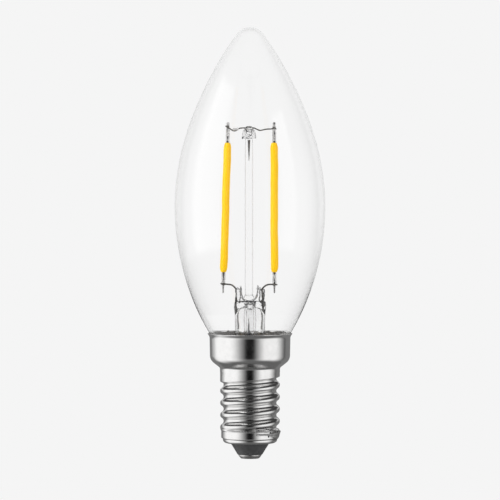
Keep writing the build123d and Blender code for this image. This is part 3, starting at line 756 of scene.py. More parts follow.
@dataclass
class StemGlass:
    """The pressed stem with its ears and web, the rod with its foot, and the bead under its hood."""

    ear_x: float = 2.77
    ear_radius: float = 0.66
    ear_low: float = 35.9
    ear_top: float = 39.4
    ear_rounding: float = 0.3
    ear_lean: float = 0.12
    web_steps: int = 120
    crumple_low: float = 34.2
    crumple_reach: float = 1.6
    press_columns: int = 128
    web_radius: float = 0.17
    web_flatness: float = 1.7
    rod_x: float = -0.24
    rod_top: float = 74.0
    rod_columns: int = 72
    bead_height: float = 75.2
    bead_top: float = 76.9
    drip_top: float = 75.6
    nub_size: tuple = (0.2, 0.18, 0.22)
    knot_size: tuple = (0.5, 0.4, 0.85)
    cavity: tuple = (
        (0.4, 0.4, 35.9), (1.38, 1.38, 35.9), (1.38, 1.38, 35.05), (2.3, 1.42, 34.9), (2.95, 1.5, 33.6),
        (3.0, 2.6, 32.0), (3.0, 3.0, 30.6), (3.0, 3.0, 27.0), (3.1, 3.1, 24.9), (4.4, 4.4, 23.3),
        (6.98, 6.98, 22.92),
    )
    outside: tuple = (
        (6.98, 6.98, 23.5), (4.6, 4.6, 24.1), (3.5, 3.5, 25.6), (3.5, 3.5, 28.0), (3.5, 3.5, 31.8),
        (3.55, 2.6, 33.4), (3.68, 1.66, 34.7), (3.72, 1.6, 35.9), (3.45, 1.4, 36.42), (1.6, 1.0, 36.4),
        (0.3, 0.3, 36.4),
    )
    web: tuple = (
        (-2.14, -0.2, 39.75), (-2.05, -0.4, 38.6), (-1.95, -0.7, 37.5), (-1.6, -1.1, 36.85),
        (-0.8, -1.4, 36.6), (0.4, -1.4, 36.6), (1.2, -1.15, 36.9), (1.62, -0.7, 37.7), (1.8, -0.4, 38.7),
        (1.84, -0.2, 39.9),
    )
    nubs: tuple = ((-2.89, -0.1, 39.5), (-2.17, -0.2, 39.85), (1.84, -0.2, 39.95), (2.3, -0.1, 39.5))
    rod_line: tuple = (
        (0.2, 36.42), (1.2, 36.42), (1.27, 37.0), (1.2, 37.65), (0.93, 37.75), (0.93, 39.0), (0.93, 55.0),
        (0.93, 73.4), (0.84, 74.0), (0.86, 74.9), (0.86, 75.7), (0.62, 76.4), (0.5, 76.9), (0.1, 77.0),
    )
    hood_inside: tuple = ((0.66, 76.35), (1.15, 75.9), (1.26, 75.2), (1.28, 74.55))
    hood_outside: tuple = ((1.62, 74.5), (1.6, 75.3), (1.45, 76.0), (1.05, 76.6), (0.75, 77.1), (0.25, 77.2))

    def press(self) -> Shell:
        """Flare, tube and press: oval rings (a, b, z), crumpled by ripples in the top of the press."""
        rings = turned_rings(np.vstack([soften(self.cavity), soften(self.outside)]), self.press_columns)
        share = rising(rings[..., 2], self.crumple_low, self.crumple_reach)
        lumps = ripple_round(self.press_columns, 5, 3) * ripple(rings[..., 2] * 0.6, 5)
        rings[..., 2] += share * 0.1 * ripple_round(self.press_columns, 7, 8)
        rings[..., 0] *= 1 + share * 0.03 * lumps
        rings[..., 1] *= 1 + share * 0.1 * lumps
        return ring_shell(rings)

    def ear(self, side: Side) -> Shell:
        """A glass sleeve around a lead: rings whose radius swells and sinks a little.

        Args:
            side: The lead's side.

        Returns:
            Points and faces.
        """
        height = np.linspace(self.ear_low, self.ear_top, 60)
        swell = 1 + 0.05 * ripple(height * 0.7, 11 + side.value)
        radius = self.ear_radius * swell * half_round(self.ear_top - height, self.ear_rounding)
        held = np.clip((self.ear_top - height) / self.ear_rounding, 0.02, 1)
        lean = self.ear_lean * ripple(height * 0.3, 14 + side.value) * held
        rings = turned_rings(np.stack([radius, height], axis=1), 40, (side.value * self.ear_x, 0.0))
        rings[..., 0] += lean[:, None]
        return ring_shell(rings)

    def web_ridge(self) -> Shell:
        """The hollow ridge of drawn glass from ear to ear: an oval carried down, across and up."""
        path, length = smooth_path(self.web, self.web_steps)
        radii = wavering(self.web_steps, self.web_radius, length, 0.25, 6, 21)
        return tube(path, radii, 20, (0, 0.2, 1), self.web_flatness)

    def rod(self) -> Shell:
        """Rod with its foot and the round bead at its top, whose distance from the axis ripples."""
        rings = turned_rings(soften(self.rod_line), self.rod_columns, (self.rod_x, 0.0))
        share = rising(rings[..., 2], self.rod_top, 0.8) * rising(rings[..., 2], self.bead_top, -0.8)
        lumps = ripple_round(self.rod_columns, 3, 31) * ripple(rings[..., 2] * 0.9, 33)
        rings[..., :2] += (rings[..., :2] - [self.rod_x, 0.0]) * (share * 0.12 * lumps)[..., None]
        return ring_shell(rings)

    def hood(self) -> Shell:
        """The skirt of drawn glass around the bead: a thin bell with a dripping edge."""
        line = np.vstack([soften(self.hood_inside), soften(self.hood_outside)])
        rings = turned_rings(line, self.rod_columns, (self.rod_x, 0.0))
        low = rising(rings[..., 2], self.drip_top, -1.1)
        rings[..., 2] += low * 0.35 * ripple_round(self.rod_columns, 2, 41)
        rings[..., :2] *= 1 + (low * 0.05 * ripple_round(self.rod_columns, 3, 43))[..., None]
        return ring_shell(rings)

    def scale(self) -> Shell:
        """Dark scale in the press and in the bead: thin strands whose thickness comes and goes."""
        x = np.linspace(-1.85, 1.7, 160)
        seam = np.stack([x, -1.05 - 0.1 * ripple(x * 0.5, 51), 36.33 + 0.13 * ripple(x * 0.9, 52)], axis=1)
        turn = np.linspace(0, 9 * math.pi, 420)
        wound = np.stack([np.sin(turn), np.cos(turn * 0.71 + 1.0), np.sin(turn * 0.43 + 0.5)], axis=1)
        knot = wound * self.knot_size + [self.rod_x + 0.02, 0.0, self.bead_height]
        return merged([
            tube(seam, patchy(x * 1.1, 53, 0.03, 0.2, 0.15), 14, (0, 1, 0)),
            tube(knot, patchy(turn * 0.3, 55, 0.025, 0.075), 10, (0.3, 0.2, 1)),
        ])

    def build(self) -> None:
        """Makes and seats the glass pieces of the mount and their dark scale."""
        seat("pressed_stem", self.press(), STEM_GLASS, "stem_glass", "stem_flare")
        nubs = [ball(place, self.nub_size, 24, 16) for place in self.nubs]
        drawn = [self.ear(side) for side in Side] + [self.web_ridge()] + nubs
        seat("drawn_ears", merged(drawn), DRAWN_GLASS, "stem_glass")
        seat("glass_rod", self.rod(), STEM_GLASS, "stem_glass", "stem_rod")
        seat("bead_hood", self.hood(), STEM_GLASS, "stem_glass")
        seat("seal_scale", self.scale(), DARK_DABS_AND_PAINTED_SHADE, "dark_wire")


@dataclass
class Filament:
    """One filament: its silicone coat, pressed end strips and the dark dabs where they meet."""

    side: Side
    middle_x: float
    tilt: float
    bend_seed: int
    middle_y: float = 0.555
    middle_z: float = 58.3
    coat_length: float = 30.3
    coat_radius: float = 0.86
    strip_y: float = -0.25
    strip_width: float = 0.88
    strip_thickness: float = 0.15
    groove_depth: float = 0.09
    groove_width: float = 0.16
    taper_length: float = 1.25
    edge_length: float = 0.12
    squareness: float = 0.035

    def placed(self, points: np.ndarray) -> np.ndarray:
        """Turns points about Y by the tilt and moves them to the filament's middle.

        Args:
            points: Array whose last axis is x, y, z.

        Returns:
            Array of the same shape.
        """
        turn = math.radians(self.tilt)
        x = points[..., 0] * math.cos(turn) + points[..., 2] * math.sin(turn)
        z = points[..., 2] * math.cos(turn) - points[..., 0] * math.sin(turn)
        return np.stack([x + self.middle_x, points[..., 1] + self.middle_y, z + self.middle_z], axis=-1)

    def coat(self) -> Shell:
        """The coat: an almost round section with slightly flattened faces and tapered, rounded ends."""
        half = self.coat_length / 2
        height = np.linspace(-half, half, 220)
        from_end = np.minimum(height + half, half - height)
        taper = 0.52 + 0.48 * np.sqrt(rising(from_end, 0.0, self.taper_length))
        edge = np.sqrt(np.clip(from_end / self.edge_length, 0.1, 1))
        radius = self.coat_radius * taper * edge * (1 + 0.012 * ripple(height * 0.12, self.bend_seed))
        angle = full_turn(64)
        reach = radius[:, None] * (1 + self.squareness * np.cos(4 * angle + 0.4))
        x = reach * np.cos(angle) + 0.05 * ripple(height * 0.05, self.bend_seed + 1)[:, None]
        rings = np.stack([x, reach * np.sin(angle), np.broadcast_to(height[:, None], x.shape)], axis=-1)
        return ring_shell(self.placed(rings))

    def strip(self, end: int, length: float, narrow_from: float, narrow: float) -> Shell:
        """An end strip with a pressed groove along its middle.

        The section is a flat loop of width w(s) whose front and back dip by d exp(-(u / g)^2).

        Args:
            end: 1 for the upper strip and -1 for the lower one.
            length: Free length beyond the coat.
            narrow_from: Distance from the coat at which the strip narrows.
            narrow: Its width beyond that, as a share.

        Returns:
            Points and faces.
        """
        steps = np.linspace(-0.4, length, 90)
        width = self.strip_width / 2 * (1 + (narrow - 1) * rising(steps, narrow_from, 0.5))
        width *= 1 + 0.06 * ripple(steps * 0.5, self.bend_seed + 7 * (end + 1))
        width *= half_round(length - steps, 0.35)
        across = np.concatenate([np.linspace(-1, 1, 15), np.linspace(1, -1, 15)])
        back = self.strip_thickness * np.repeat([-0.5, 0.5], 15)
        thickness = back * np.sqrt(np.clip(1.001 - across**6, 0, 1))
        u = width[:, None] * across
        groove = self.groove_depth * np.exp(-((u / self.groove_width) ** 2))
        wave = 0.05 * ripple(steps * 0.35, self.bend_seed + 3 * (end + 1))[:, None]
        height = np.broadcast_to((end * (self.coat_length / 2 + steps))[:, None], u.shape)
        rings = np.stack([u, thickness + groove + wave + self.strip_y, height], axis=-1)
        return ring_shell(self.placed(rings if end > 0 else rings[::-1]))

    def groove_line(self, end: int, length: float) -> Shell:
        """Dark scale in a strip's groove: a strand whose thickness comes and goes.

        Args:
            end: 1 for the upper strip and -1 for the lower one.
            length: How far it goes from the coat.

        Returns:
            Points and faces.
        """
        steps = np.linspace(0.1, length, 90)
        x = 0.06 * ripple(steps * 0.4, self.bend_seed + 5 * (end + 1))
        line = np.stack([x, np.full(90, self.strip_y - 0.02), end * (self.coat_length / 2 + steps)], axis=1)
        radii = patchy(steps * 0.45, self.bend_seed + 11 * (end + 1), 0.02, 0.11, 0.1)
        return tube(self.placed(line), radii, 12, (0, 1, 0))

    def dab(self, end: int) -> Shell:
        """The dark dab on a strip at the coat's end."""
        place = self.placed(np.array([0.02, self.strip_y - 0.06, end * (self.coat_length / 2 + 0.12)]))
        return ball(tuple(place), (0.24, 0.16, 0.26), 20, 12)

    def build(self) -> None:
        """Makes and seats the filament's pieces."""
        label = self.side.label
        seat(f"silicone_coat_{label}", self.coat(), PHOSPHOR, "phosphor", f"phosphor_coat_{label}")
        upper = self.strip(1, 4.7, 3.2, 0.8)
        seat(f"end_strip_top_{label}", upper, TAB_METAL, "tab_metal", f"filament_tab_top_{label}")
        lower = self.strip(-1, 4.9, 2.9, 0.5)
        seat(f"end_strip_bottom_{label}", lower, TAB_METAL, "tab_metal", f"filament_tab_bottom_{label}")
        dabs = [self.dab(1), self.dab(-1), self.groove_line(1, 4.6), self.groove_line(-1, 4.8)]
        seat(f"end_dabs_{label}", merged(dabs), DARK_DABS_AND_PAINTED_SHADE, "dark_wire")


@dataclass
class Wiring:
    """The cross wire at the top, the two leads at the foot and their welds."""

    cross_radius: float = 0.15
    cross_y: float = 0.04
    lead_radius: float = 0.19
    cross_points: tuple = (
        (-5.75, 77.2), (-5.2, 77.05), (-4.9, 76.82), (-4.4, 76.4), (-3.9, 76.1), (-3.3, 76.08), (-2.8, 76.45),
        (-2.4, 76.74), (-1.0, 76.78), (0.4, 76.79), (1.0, 76.76), (1.5, 76.5), (2.2, 76.18), (2.8, 76.24),
        (3.7, 76.5), (4.9, 76.52), (5.2, 76.6), (5.55, 76.95), (5.8, 76.85), (6.1, 76.4),
    )
    lead_points: dict = field(default_factory=lambda: {
        Side.LEFT: (
            (-6.9, 40.55), (-6.0, 40.45), (-4.9, 40.36), (-4.25, 40.25), (-3.7, 39.85), (-3.2, 39.25),
            (-3.16, 38.6), (-3.2, 37.2), (-3.2, 35.9), (-2.9, 34.3), (-2.68, 33.0), (-2.65, 30.0),
        ),
        Side.RIGHT: (
            (6.4, 40.28), (5.7, 40.35), (4.4, 40.36), (3.8, 40.2), (3.2, 39.75), (2.8, 39.3),
            (2.86, 38.7), (2.93, 37.2), (2.93, 35.9), (2.78, 34.3), (2.67, 33.0), (2.65, 30.0),
        ),
    })
    seal_swell: dict = field(default_factory=lambda: {Side.LEFT: (0.12, 36.4), Side.RIGHT: (0.26, 35.9)})
    seal_top: float = 38.5
    seal_reach: float = 0.9
    lead_steps: int = 320
    cross_steps: int = 260
    sleeve_points: tuple = (
        (-4.1, -0.05, 76.52), (-3.7, -0.05, 76.42), (-3.2, -0.05, 76.42), (-2.6, -0.05, 76.62),
    )
    welds: tuple = ((-5.28, 77.1, 0.3), (5.6, 76.75, 0.3), (-6.1, 40.45, 0.34), (5.66, 40.36, 0.34))
    weld_y: float = 0.06
    weld_depth: float = 0.2

    def cross_wire(self) -> Shell:
        """The cross wire: a round section carried along the softened line of its dips."""
        path, length = smooth_path([(x, self.cross_y, z) for x, z in self.cross_points], self.cross_steps)
        return tube(path, wavering(self.cross_steps, self.cross_radius, length, 0.05, 12, 61), 18, (0, 1, 0))

    def sleeve(self) -> Shell:
        """The small flattened sleeve on the wire's left dip: an oval carried along it."""
        path, _ = smooth_path(self.sleeve_points, 60)
        return tube(path, round_ended(60, 0.3, 1.6), 24, (0, 0, 1), 0.55)

    def lead(self, side: Side) -> Shell:
        """A lead: a round section carried from its weld into the press, thicker where the glass seals it.

        The bulge at the seal is s exp(-((z - m) / r)^4), made uneven by ripples.

        Args:
            side: The lead's side.

        Returns:
            Points and faces.
        """
        path, length = smooth_path([(x, 0.0, z) for x, z in self.lead_points[side]], self.lead_steps)
        swell, middle = self.seal_swell[side]
        height = path[:, 2]
        bulge = swell * np.exp(-(((height - middle) / self.seal_reach) ** 4))
        bulge *= (1 + 0.35 * ripple(height * 1.1, 71)) * (height < self.seal_top)
        radii = round_ended(self.lead_steps, self.lead_radius, length) + np.clip(bulge, 0, 1)
        return tube(path, radii, 20, (0, 1, 0))

    def build(self) -> None:
        """Makes and seats every wire and its flattened weld."""
        seat("cross_wire", self.cross_wire(), DARK_WIRE, "dark_wire", "top_cross_wire")
        seat("wire_sleeve", self.sleeve(), TAB_METAL, "tab_metal")
        for side in Side:
            seat(f"lead_{side.label}", self.lead(side), DARK_WIRE, "dark_wire", f"lead_wire_{side.label}")
        welds = [
            ball((x, self.weld_y, z), (size, self.weld_depth, size * 0.8), 24, 14)
            for x, z, size in self.welds
        ]
        seat("tab_welds", merged(welds), DARK_WIRE, "dark_wire")


@dataclass


class RolledCap:
    """The one-piece cap as one sheet skin: curl, band, rolled thread, neck, rounded shoulder, skirt, lip."""

    sheet: float = 0.3
    crest_radius: float = 6.945
    band_radius: float = 6.7
    depth: float = 0.8
    pitch: float = 2.822
    knuckle_radius: float = 0.8222
    band_top: float = 6.6
    first_crest: float = 7.25
    neck_edge: float = 18.3
    edge_tilt: float = 0.6
    run_out: float = 0.5
    columns: int = 200
    band_heights: tuple = (5.8, 6.25)
    outer_run: tuple = (6.32, 19.3, 0.095)
    inner_run: tuple = (19.3, 6.3, -0.22)
    outer_low: tuple = (
        (4.5, 3.5, 0), (6.33, 3.7, 0.8), (6.33, 4.6, 0.08), (6.66, 4.8, 0.06), (6.7, 5.0, 0.04),
        (6.7, 5.3, 0),
    )
    outer_top: tuple = (
        (6.945, 19.9, 0), (6.98, 20.2, 0.1), (6.98, 21.08, 0.3), (9.3, 22.9, 1.1), (9.4, 28.3, 0.35),
        (9.9, 29.06, 0.13), (9.55, 29.06, 0.13), (9.11, 28.43, 0.2), (9.0, 23.06, 0.9), (6.69, 21.25, 0.3),
        (6.65, 19.9, 0),
    )
    inner_low: tuple = ((6.4, 5.3, 0), (6.36, 5.0, 0.04), (6.03, 4.8, 0.06), (6.03, 4.0, 0.5), (4.5, 3.8, 0))

    def knuckles(self, turns: np.ndarray, inset: float) -> np.ndarray:
        """Depth below the crest of two tangent arcs: h - (h^2 - a^2)^0.5 on the crest, and so on in the root.

        Args:
            turns: Place along the thread, in pitches from a crest.
            inset: Distance inwards from the outer face.

        Returns:
            Array of the same shape.
        """
        away = np.abs(turns - np.round(turns)) * self.pitch
        crest = self.knuckle_radius - inset
        root = self.knuckle_radius + inset
        on_crest = crest - np.sqrt(np.maximum(crest**2 - away**2, 0))
        in_root = self.depth - root + np.sqrt(np.maximum(root**2 - (self.pitch / 2 - away) ** 2, 0))
        return np.where(away < self.pitch / 4 * crest / self.knuckle_radius, on_crest, in_root)

    def thread(self, heights: np.ndarray, inset: float) -> np.ndarray:
        """Rings of radius crest - inset - knuckles(z / pitch - a / 2 pi), run out into band and neck.

        Args:
            heights: Height of each ring.
            inset: Distance inwards from the outer face.

        Returns:
            Array of shape (rings, columns, 3).
        """
        angle = full_turn(self.columns)[None]
        height = heights[:, None] + 0 * angle
        depth = self.knuckles((height - self.first_crest) / self.pitch - angle / (2 * math.pi) + 0.5, inset)
        depth *= ramp((height - self.band_top) / self.run_out)
        depth *= ramp((self.neck_edge + self.edge_tilt * np.cos(angle) - height) / self.run_out + 0.5)
        swell = ramp((height - self.band_top) / self.run_out + 0.5)
        radius = self.band_radius + (self.crest_radius - self.band_radius) * swell - inset - depth
        return np.stack([radius * np.cos(angle), radius * np.sin(angle), height], axis=-1)

    def build(self) -> None:
        """One skin of the sheet: up the outside, over the lip and down the inside."""
        up = np.concatenate([self.band_heights, np.arange(*self.outer_run)])
        down = np.concatenate([np.arange(*self.inner_run), self.band_heights[::-1]])
        rings = np.concatenate([
            turned_rings(rounded(self.outer_low), self.columns),
            self.thread(up, 0.0),
            turned_rings(rounded(self.outer_top), self.columns),
            self.thread(down, self.sheet),
            turned_rings(rounded(self.inner_low), self.columns),
        ])
        seat("rolled_cap", ring_loop(rings), CAP_METAL, "cap_metal", "cap_shell")


@dataclass
class WireGapShade:
    """Painted shade around the folded wire end on the cap's lower edge: dark strands in the gaps under and
    beside the wire. Rows of a radius and places (x, z).
    """

    band_radius: float = 6.76
    strands: tuple = (
        (0.12, (1.55, 5.86), (3.0, 5.84), (4.1, 5.8)),
        (0.08, (1.5, 7.02), (3.0, 7.1), (4.4, 7.16)),
        (0.08, (4.35, 7.12), (4.78, 6.8), (4.7, 6.2)),
        (0.11, (4.25, 5.75), (4.3, 5.5), (4.35, 5.25)),
    )

    def strand(self, radius: float, *places: tuple[float, float]) -> Shell:
        """A thin strand laid on the band: each place (x, z) is put at y = -sqrt(r^2 - x^2)."""
        path, _ = smooth_path([(x, -math.sqrt(self.band_radius**2 - x**2), z) for x, z in places], 60)
        return tube(path, wavering(60, radius, 2.0, 0.3, 5, 95), 12, (0, 0, 1))

    def build(self) -> None:
        """Makes and seats the painted shade strands."""
        # Painted shade: dark strands where the gaps beside the wire fall into shade.
        seat("painted_wire_gap_shade", merged([self.strand(*row) for row in self.strands]), DARK_DABS_AND_PAINTED_SHADE, "dark_wire")


@dataclass
class TubeReflectionCone:
    """Painted reflection in the exhaust tube: a dark slim cone that widens downwards, standing in for the
    dark cement and driver that the tube's glass reflects.
    """

    x: float = -0.28
    tip: float = 33.5
    foot: float = 28.2
    width: float = 0.46

    def build(self) -> None:
        """Rings of radius w s^1.4 (1 + ripple) at a share s of the way down."""
        share = np.linspace(1, 0.02, 80)
        radius = self.width * share**1.4 * (1 + 0.12 * ripple(share * 4, 91))
        height = self.tip - (self.tip - self.foot) * share
        rings = turned_rings(np.stack([radius, height], axis=1), 32, (self.x, 0.0))
        # Painted reflection: the dark cone stands in for what the tube reflects.
        seat("painted_tube_reflection", ring_shell(rings), DARK_DABS_AND_PAINTED_SHADE, "dark_wire")


@dataclass
class CementRing:
    """The cement in the skirt, with its speckled and uneven top."""

    outer_top: float = 9.06
    outer_low: float = 8.94
    top: float = 28.5
    creep: float = 0.5
    low: float = 24.3
    edge: float = 0.4
    columns: int = 600

    def build(self) -> None:
        """A ring that follows the glass and the skirt; its inner edge creeps up the glass unevenly.

        The glass side is the envelope's line between low and top, and each point between there and
        the skirt is moved up by creep (1 + ripple) exp(-3 s), where s is its share of the way.
        """
        heights = np.linspace(self.low, self.top, 12)
        wall = BulbGlass().wall_line(0.0)
        glass = np.stack([np.interp(heights, wall[:, 1], wall[:, 0]) + 0.01, heights], axis=1)
        share = np.linspace(0, 1, 10)[:, None]
        across = glass[-1:] * (1 - share) + np.array([[self.outer_top, self.top]]) * share
        line = np.vstack([glass[:-1], across, [[self.outer_low, self.low]]])
        shares = np.concatenate([np.zeros(11), share[:, 0], [1.0]])
        rings = turned_rings(line, self.columns)
        crumbs = np.clip(ripple_round(self.columns, 23, 83, 2), 0, 1) ** 2
        climb = self.creep * (0.8 + 0.25 * ripple_round(self.columns, 9, 81) + 0.4 * crumbs)
        near_top = rising(rings[..., 2], self.top - self.edge, self.edge)
        lifted = rings[..., 2] + near_top * climb * np.exp(-3 * shares)[:, None]
        grown = np.interp(lifted, wall[:, 1], wall[:, 0]) - np.interp(rings[..., 2], wall[:, 1], wall[:, 0])
        radius = np.hypot(rings[..., 0], rings[..., 1])
        rings[..., :2] *= (1 + grown * (1 - shares)[:, None] / radius)[..., None]
        rings[..., 2] = lifted
        seat("cement_ring", ring_loop(rings, flip=True), CEMENT_AND_SHADE, "cement", "capping_cement")


def reflected_only(
    card: bpy.types.Object, mask: Callable[[Sketch], Socket], tone: float, strength: float
) -> None:
    """Makes a card glow where its mask is 1, clear elsewhere, and seen by reflections alone.

    Args:
        card: The card.
        mask: Adds the mask's nodes to a sketch.
        tone: Grey of its light.
        strength: Strength of its light.
    """
    material, sketch, shader, output = new_material(card.name)
    material.node_tree.nodes.remove(shader)
    lit = sketch.node("Emission", {"Color": grey(tone), "Strength": strength}).outputs["Emission"]
    clear = sketch.node("BsdfTransparent").outputs["BSDF"]
    sketch.feed(output.inputs["Surface"], sketch.mix(mask(sketch), clear, lit))
    card.data.materials.append(material)
    for ray in ("camera", "diffuse", "transmission", "shadow"):
        setattr(card, f"visible_{ray}", False)


@dataclass
class Panel:
    """A light or dark card beyond the camera's view that only shows as a reflection."""

    name: str
    turn: tuple[float, float]
    lift: tuple[float, float]
    strength: float
    soft: tuple[float, float, float] = (0.25, 0.25, 0.2)
    radius: float = 1500.0
    centre: float = 0.0

    def build(self) -> None:
        """A patch of a ball around a height of the axis: turn is measured from the front towards +X."""
        turns, lifts = np.meshgrid(
            np.radians(np.linspace(*self.turn, CARD_COLUMNS)), np.radians(np.linspace(*self.lift, CARD_ROWS))
        )
        points = self.radius * np.stack(
            [np.sin(turns) * np.cos(lifts), -np.cos(turns) * np.cos(lifts), np.sin(lifts)], axis=-1
        )
        points[..., 2] += self.centre
        row, column = np.meshgrid(np.arange(CARD_ROWS - 1), np.arange(CARD_COLUMNS - 1), indexing="ij")
        here = row * CARD_COLUMNS + column
        above = here + CARD_COLUMNS
        faces = np.stack([here, here + 1, above + 1, above], axis=-1).reshape(-1, 4)
        card = mesh_object(self.name, points.reshape(-1, 3), faces.tolist())
        places = np.meshgrid(np.linspace(0, 1, CARD_COLUMNS), np.linspace(0, 1, CARD_ROWS))
        layer = card.data.uv_layers.new(name="card")
        layer.data.foreach_set("uv", np.stack(places, axis=-1).reshape(-1, 2)[faces.reshape(-1)].ravel())
        reflected_only(card, self.mask, 1.0, self.strength)

    def mask(self, sketch: Sketch) -> Socket:
        """A share that fades out towards the card's edges: the product of a ramp from each of them.

        Args:
            sketch: The material's sketch.

        Returns:
            The share's socket.
        """
        place = sketch.node("SeparateXYZ", {"Vector": sketch.node("TexCoord").outputs["UV"]})
        start, end, upright = self.soft
        masks = []
        for axis, first, last in (("X", start, end), ("Y", upright, upright)):
            low = sketch.spread(place.outputs[axis], 0.0, 1.0, 0.0, first)
            high = sketch.spread(place.outputs[axis], 1.0, 0.0, 1.0 - last, 1.0)
            masks.append(sketch.math("MULTIPLY", low, high))
        return sketch.math("MULTIPLY", *masks)


@dataclass
class Collar:
    """A dark ring in the air between cap and glass, which only the metal's reflections show."""

    inner: float = 14.0
    outer: float = 90.0
    height: float = 31.5
    thickness: float = 0.2
    tone: float = 0.05

    def build(self) -> None:
        """A flat ring (r cos t, r sin t, h)."""
        low = self.height - self.thickness
        line = [[self.outer, low], [self.inner, low], [self.inner, self.height], [self.outer, self.height]]
        ring = mesh_object("collar", *ring_loop(turned_rings(np.array(line), 96)))
        reflected_only(ring, self.mask, self.tone, 1.0)

    def mask(self, sketch: Sketch) -> Socket:
        """A share that fades out towards the ring's outer edge."""
        return sketch.spread(sketch.distance(), 1.0, 0.0, self.outer / 2 * MM, self.outer * MM)


@dataclass
class Lamp:
    """An area lamp that lights the bulb and leaves its reflection to the cards."""

    name: str
    place: tuple[float, float, float]
    size: float
    power: float

    def build(self) -> None:
        """Adds the lamp, aimed at the middle of the bulb with +Z up."""
        data = bpy.data.lights.new(self.name, "AREA")
        data.size = self.size
        data.energy = self.power
        lamp = add_object(self.name, data)
        lamp.location = self.place
        x, y, z = np.array([0, 0, 0.05]) - np.array(self.place)
        pitch = math.pi / 2 + math.atan2(z, math.hypot(x, y))
        lamp.rotation_euler = (pitch, 0.0, math.atan2(y, x) - math.pi / 2)
        lamp.visible_glossy = False
        lamp.visible_transmission = False


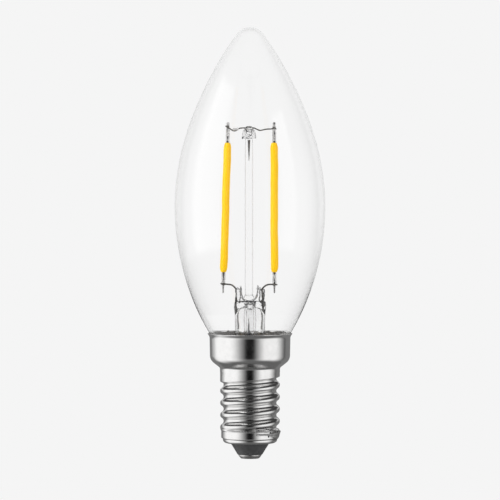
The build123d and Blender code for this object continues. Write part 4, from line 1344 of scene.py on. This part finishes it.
@dataclass
class Studio:
    """Camera, pale ground, soft light and the cards that the metal and the glass reflect."""

    ground_tone: float = 0.913
    tone_behind: float = 0.922
    camera_distance: float = 600.0
    camera_dip: float = 1.2
    middle_height: float = 48.45
    view_width: float = 116.2
    sensor_width: float = 36.0
    ground_height: float = -40.0
    ground_radius: float = 9000.0
    ambient: float = 0.56
    panels: list[Panel] = field(default_factory=lambda: [
        Panel("tent", (-180, 180), (-89.9, 89.9), 0.07, (0.0001, 0.0001, 0.0001), 1700.0),
        Panel("card_left", (-143, -7), (-64, 64), 1.2, (0.26, 0.4, 0.3)),
        Panel("card_right", (7, 124), (-52, 34), 1.12, (0.36, 0.42, 0.38)),
        Panel("card_near_left", (-94, -30), (-24, 62), 4.0, (0.3, 0.3, 0.06), 60.0, 58.0),
        Panel("card_near_right", (36, 70), (-24, 50), 3.4, (0.3, 0.3, 0.06), 60.0, 58.0),
        Panel("card_front", (-19, 18), (-34, 34), 0.006, (0.35, 0.35, 0.35), 1450.0),
        Panel("backdrop", (124, 236), (-12, 56), 0.9, (0.12, 0.12, 0.2), 1600.0),
        Panel("card_below", (-180, 180), (-89.9, -14), 0.15, (0.0001, 0.0001, 0.2), 1650.0),
        Panel("flag_behind", (112, 232), (-24, 18.5), 0.22, (0.08, 0.08, 0.05), 95.0),
    ])
    lamps: list[Lamp] = field(default_factory=lambda: [
        Lamp("lamp_left", (-0.9, -0.6, 0.5), 0.6, 8.5),
        Lamp("lamp_right", (0.9, -0.5, 0.4), 0.6, 3.0),
    ])

    def camera(self) -> None:
        """The photograph's view: level with the middle of the bulb and looking slightly down."""
        data = bpy.data.cameras.new("camera")
        data.sensor_width = self.sensor_width
        data.lens = self.sensor_width * self.camera_distance / self.view_width
        data.clip_end = 50.0
        dip = math.radians(self.camera_dip)
        camera = add_object("camera", data)
        camera.location = (
            0.0,
            -self.camera_distance * math.cos(dip) * MM,
            (self.middle_height + self.camera_distance * math.sin(dip)) * MM,
        )
        camera.rotation_euler = (math.pi / 2 - dip, 0.0, 0.0)
        bpy.context.scene.camera = camera

    def seen_tone(self, sketch: Sketch) -> tuple[Socket, Socket]:
        """The plain tone that camera, reflections and glass see.

        Args:
            sketch: Sketch of the world or of a material.

        Returns:
            The share of rays that see it, and the tone, which is lighter behind glass to make up for
            what the glass reflects away.
        """
        seen = sketch.rays("Camera", "Glossy", "Transmission")
        return seen, sketch.blend(sketch.rays("Transmission"), grey(self.ground_tone), grey(self.tone_behind))

    def world(self) -> None:
        """Pale for the camera, reflections and glass, and a plain grey light otherwise."""
        world = bpy.data.worlds.new("studio")
        world.use_nodes = True
        world.node_tree.nodes.clear()
        sketch = Sketch(world.node_tree)
        seen, pale = self.seen_tone(sketch)
        inputs = {"Color": sketch.blend(seen, grey(self.ambient), pale), "Strength": 1.0}
        background = sketch.node("Background", inputs).outputs["Background"]
        sketch.feed(sketch.node("OutputWorld").inputs["Surface"], background)
        bpy.context.scene.world = world

    def ground(self) -> None:
        """A wide pale disc under the bulb, which keeps a soft shadow and is clear from below.

        It shows at least 0.85 of its plain tone, and all of it from 0.3 m away.
        """
        rim = turned_rings(np.array([[self.ground_radius, self.ground_height]]), 96)[0]
        disc = mesh_object("ground", rim, [list(range(96))])
        material, sketch, shader, output = new_material("pale_ground")
        fine = effect_value(sketch, Effect.MOTTLE, 40.0)
        sketch.feed(shader.inputs["Roughness"], sketch.spread(fine, 0.8, 0.9))
        shader.inputs["Base Color"].default_value = grey(self.ground_tone)
        seen, pale = self.seen_tone(sketch)
        lit = sketch.node("Emission", {"Color": pale, "Strength": 1.0}).outputs["Emission"]
        share = sketch.math("MULTIPLY", seen, sketch.spread(sketch.distance(), 0.85, 1.0, 0.05, 0.3))
        below = sketch.node("NewGeometry").outputs["Backfacing"]
        clear = sketch.node("BsdfTransparent").outputs["BSDF"]
        sided = sketch.mix(below, sketch.mix(share, shader.outputs["BSDF"], lit), clear)
        sketch.feed(output.inputs["Surface"], sided)
        disc.data.materials.append(material)
        disc.visible_glossy = False

    def build(self) -> None:
        """Sets up everything around the bulb."""
        bpy.context.scene.view_settings.view_transform = "Standard"
        self.camera()
        self.world()
        self.ground()
        Collar().build()
        for panel in self.panels:
            panel.build()
        for lamp in self.lamps:
            lamp.build()
        LOG.info("studio: %d cards, %d lamps", len(self.panels), len(self.lamps))


def dress_nodes() -> None:
    """Gives every CAD node the finish of its material slot."""
    for finish, nodes in NODE_FINISHES.items():
        for node in nodes:
            finished(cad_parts[node], finish)
    LOG.info("dressed %d nodes", sum(len(nodes) for nodes in NODE_FINISHES.values()))


def main() -> None:
    """Builds the studio and then the bulb, one assembly after the other."""
    logging.basicConfig(level=logging.INFO, format="%(message)s")
    Studio().build()
    dress_nodes()
    BulbGlass().build()
    StemGlass().build()
    Filament(Side.LEFT, -5.68, 1.73, 5).build()
    Filament(Side.RIGHT, 5.65, -0.1, 8).build()
    Wiring().build()
    TubeReflectionCone().build()
    RolledCap().build()
    WireGapShade().build()
    CementRing().build()


if __name__ == "__main__":
    main()
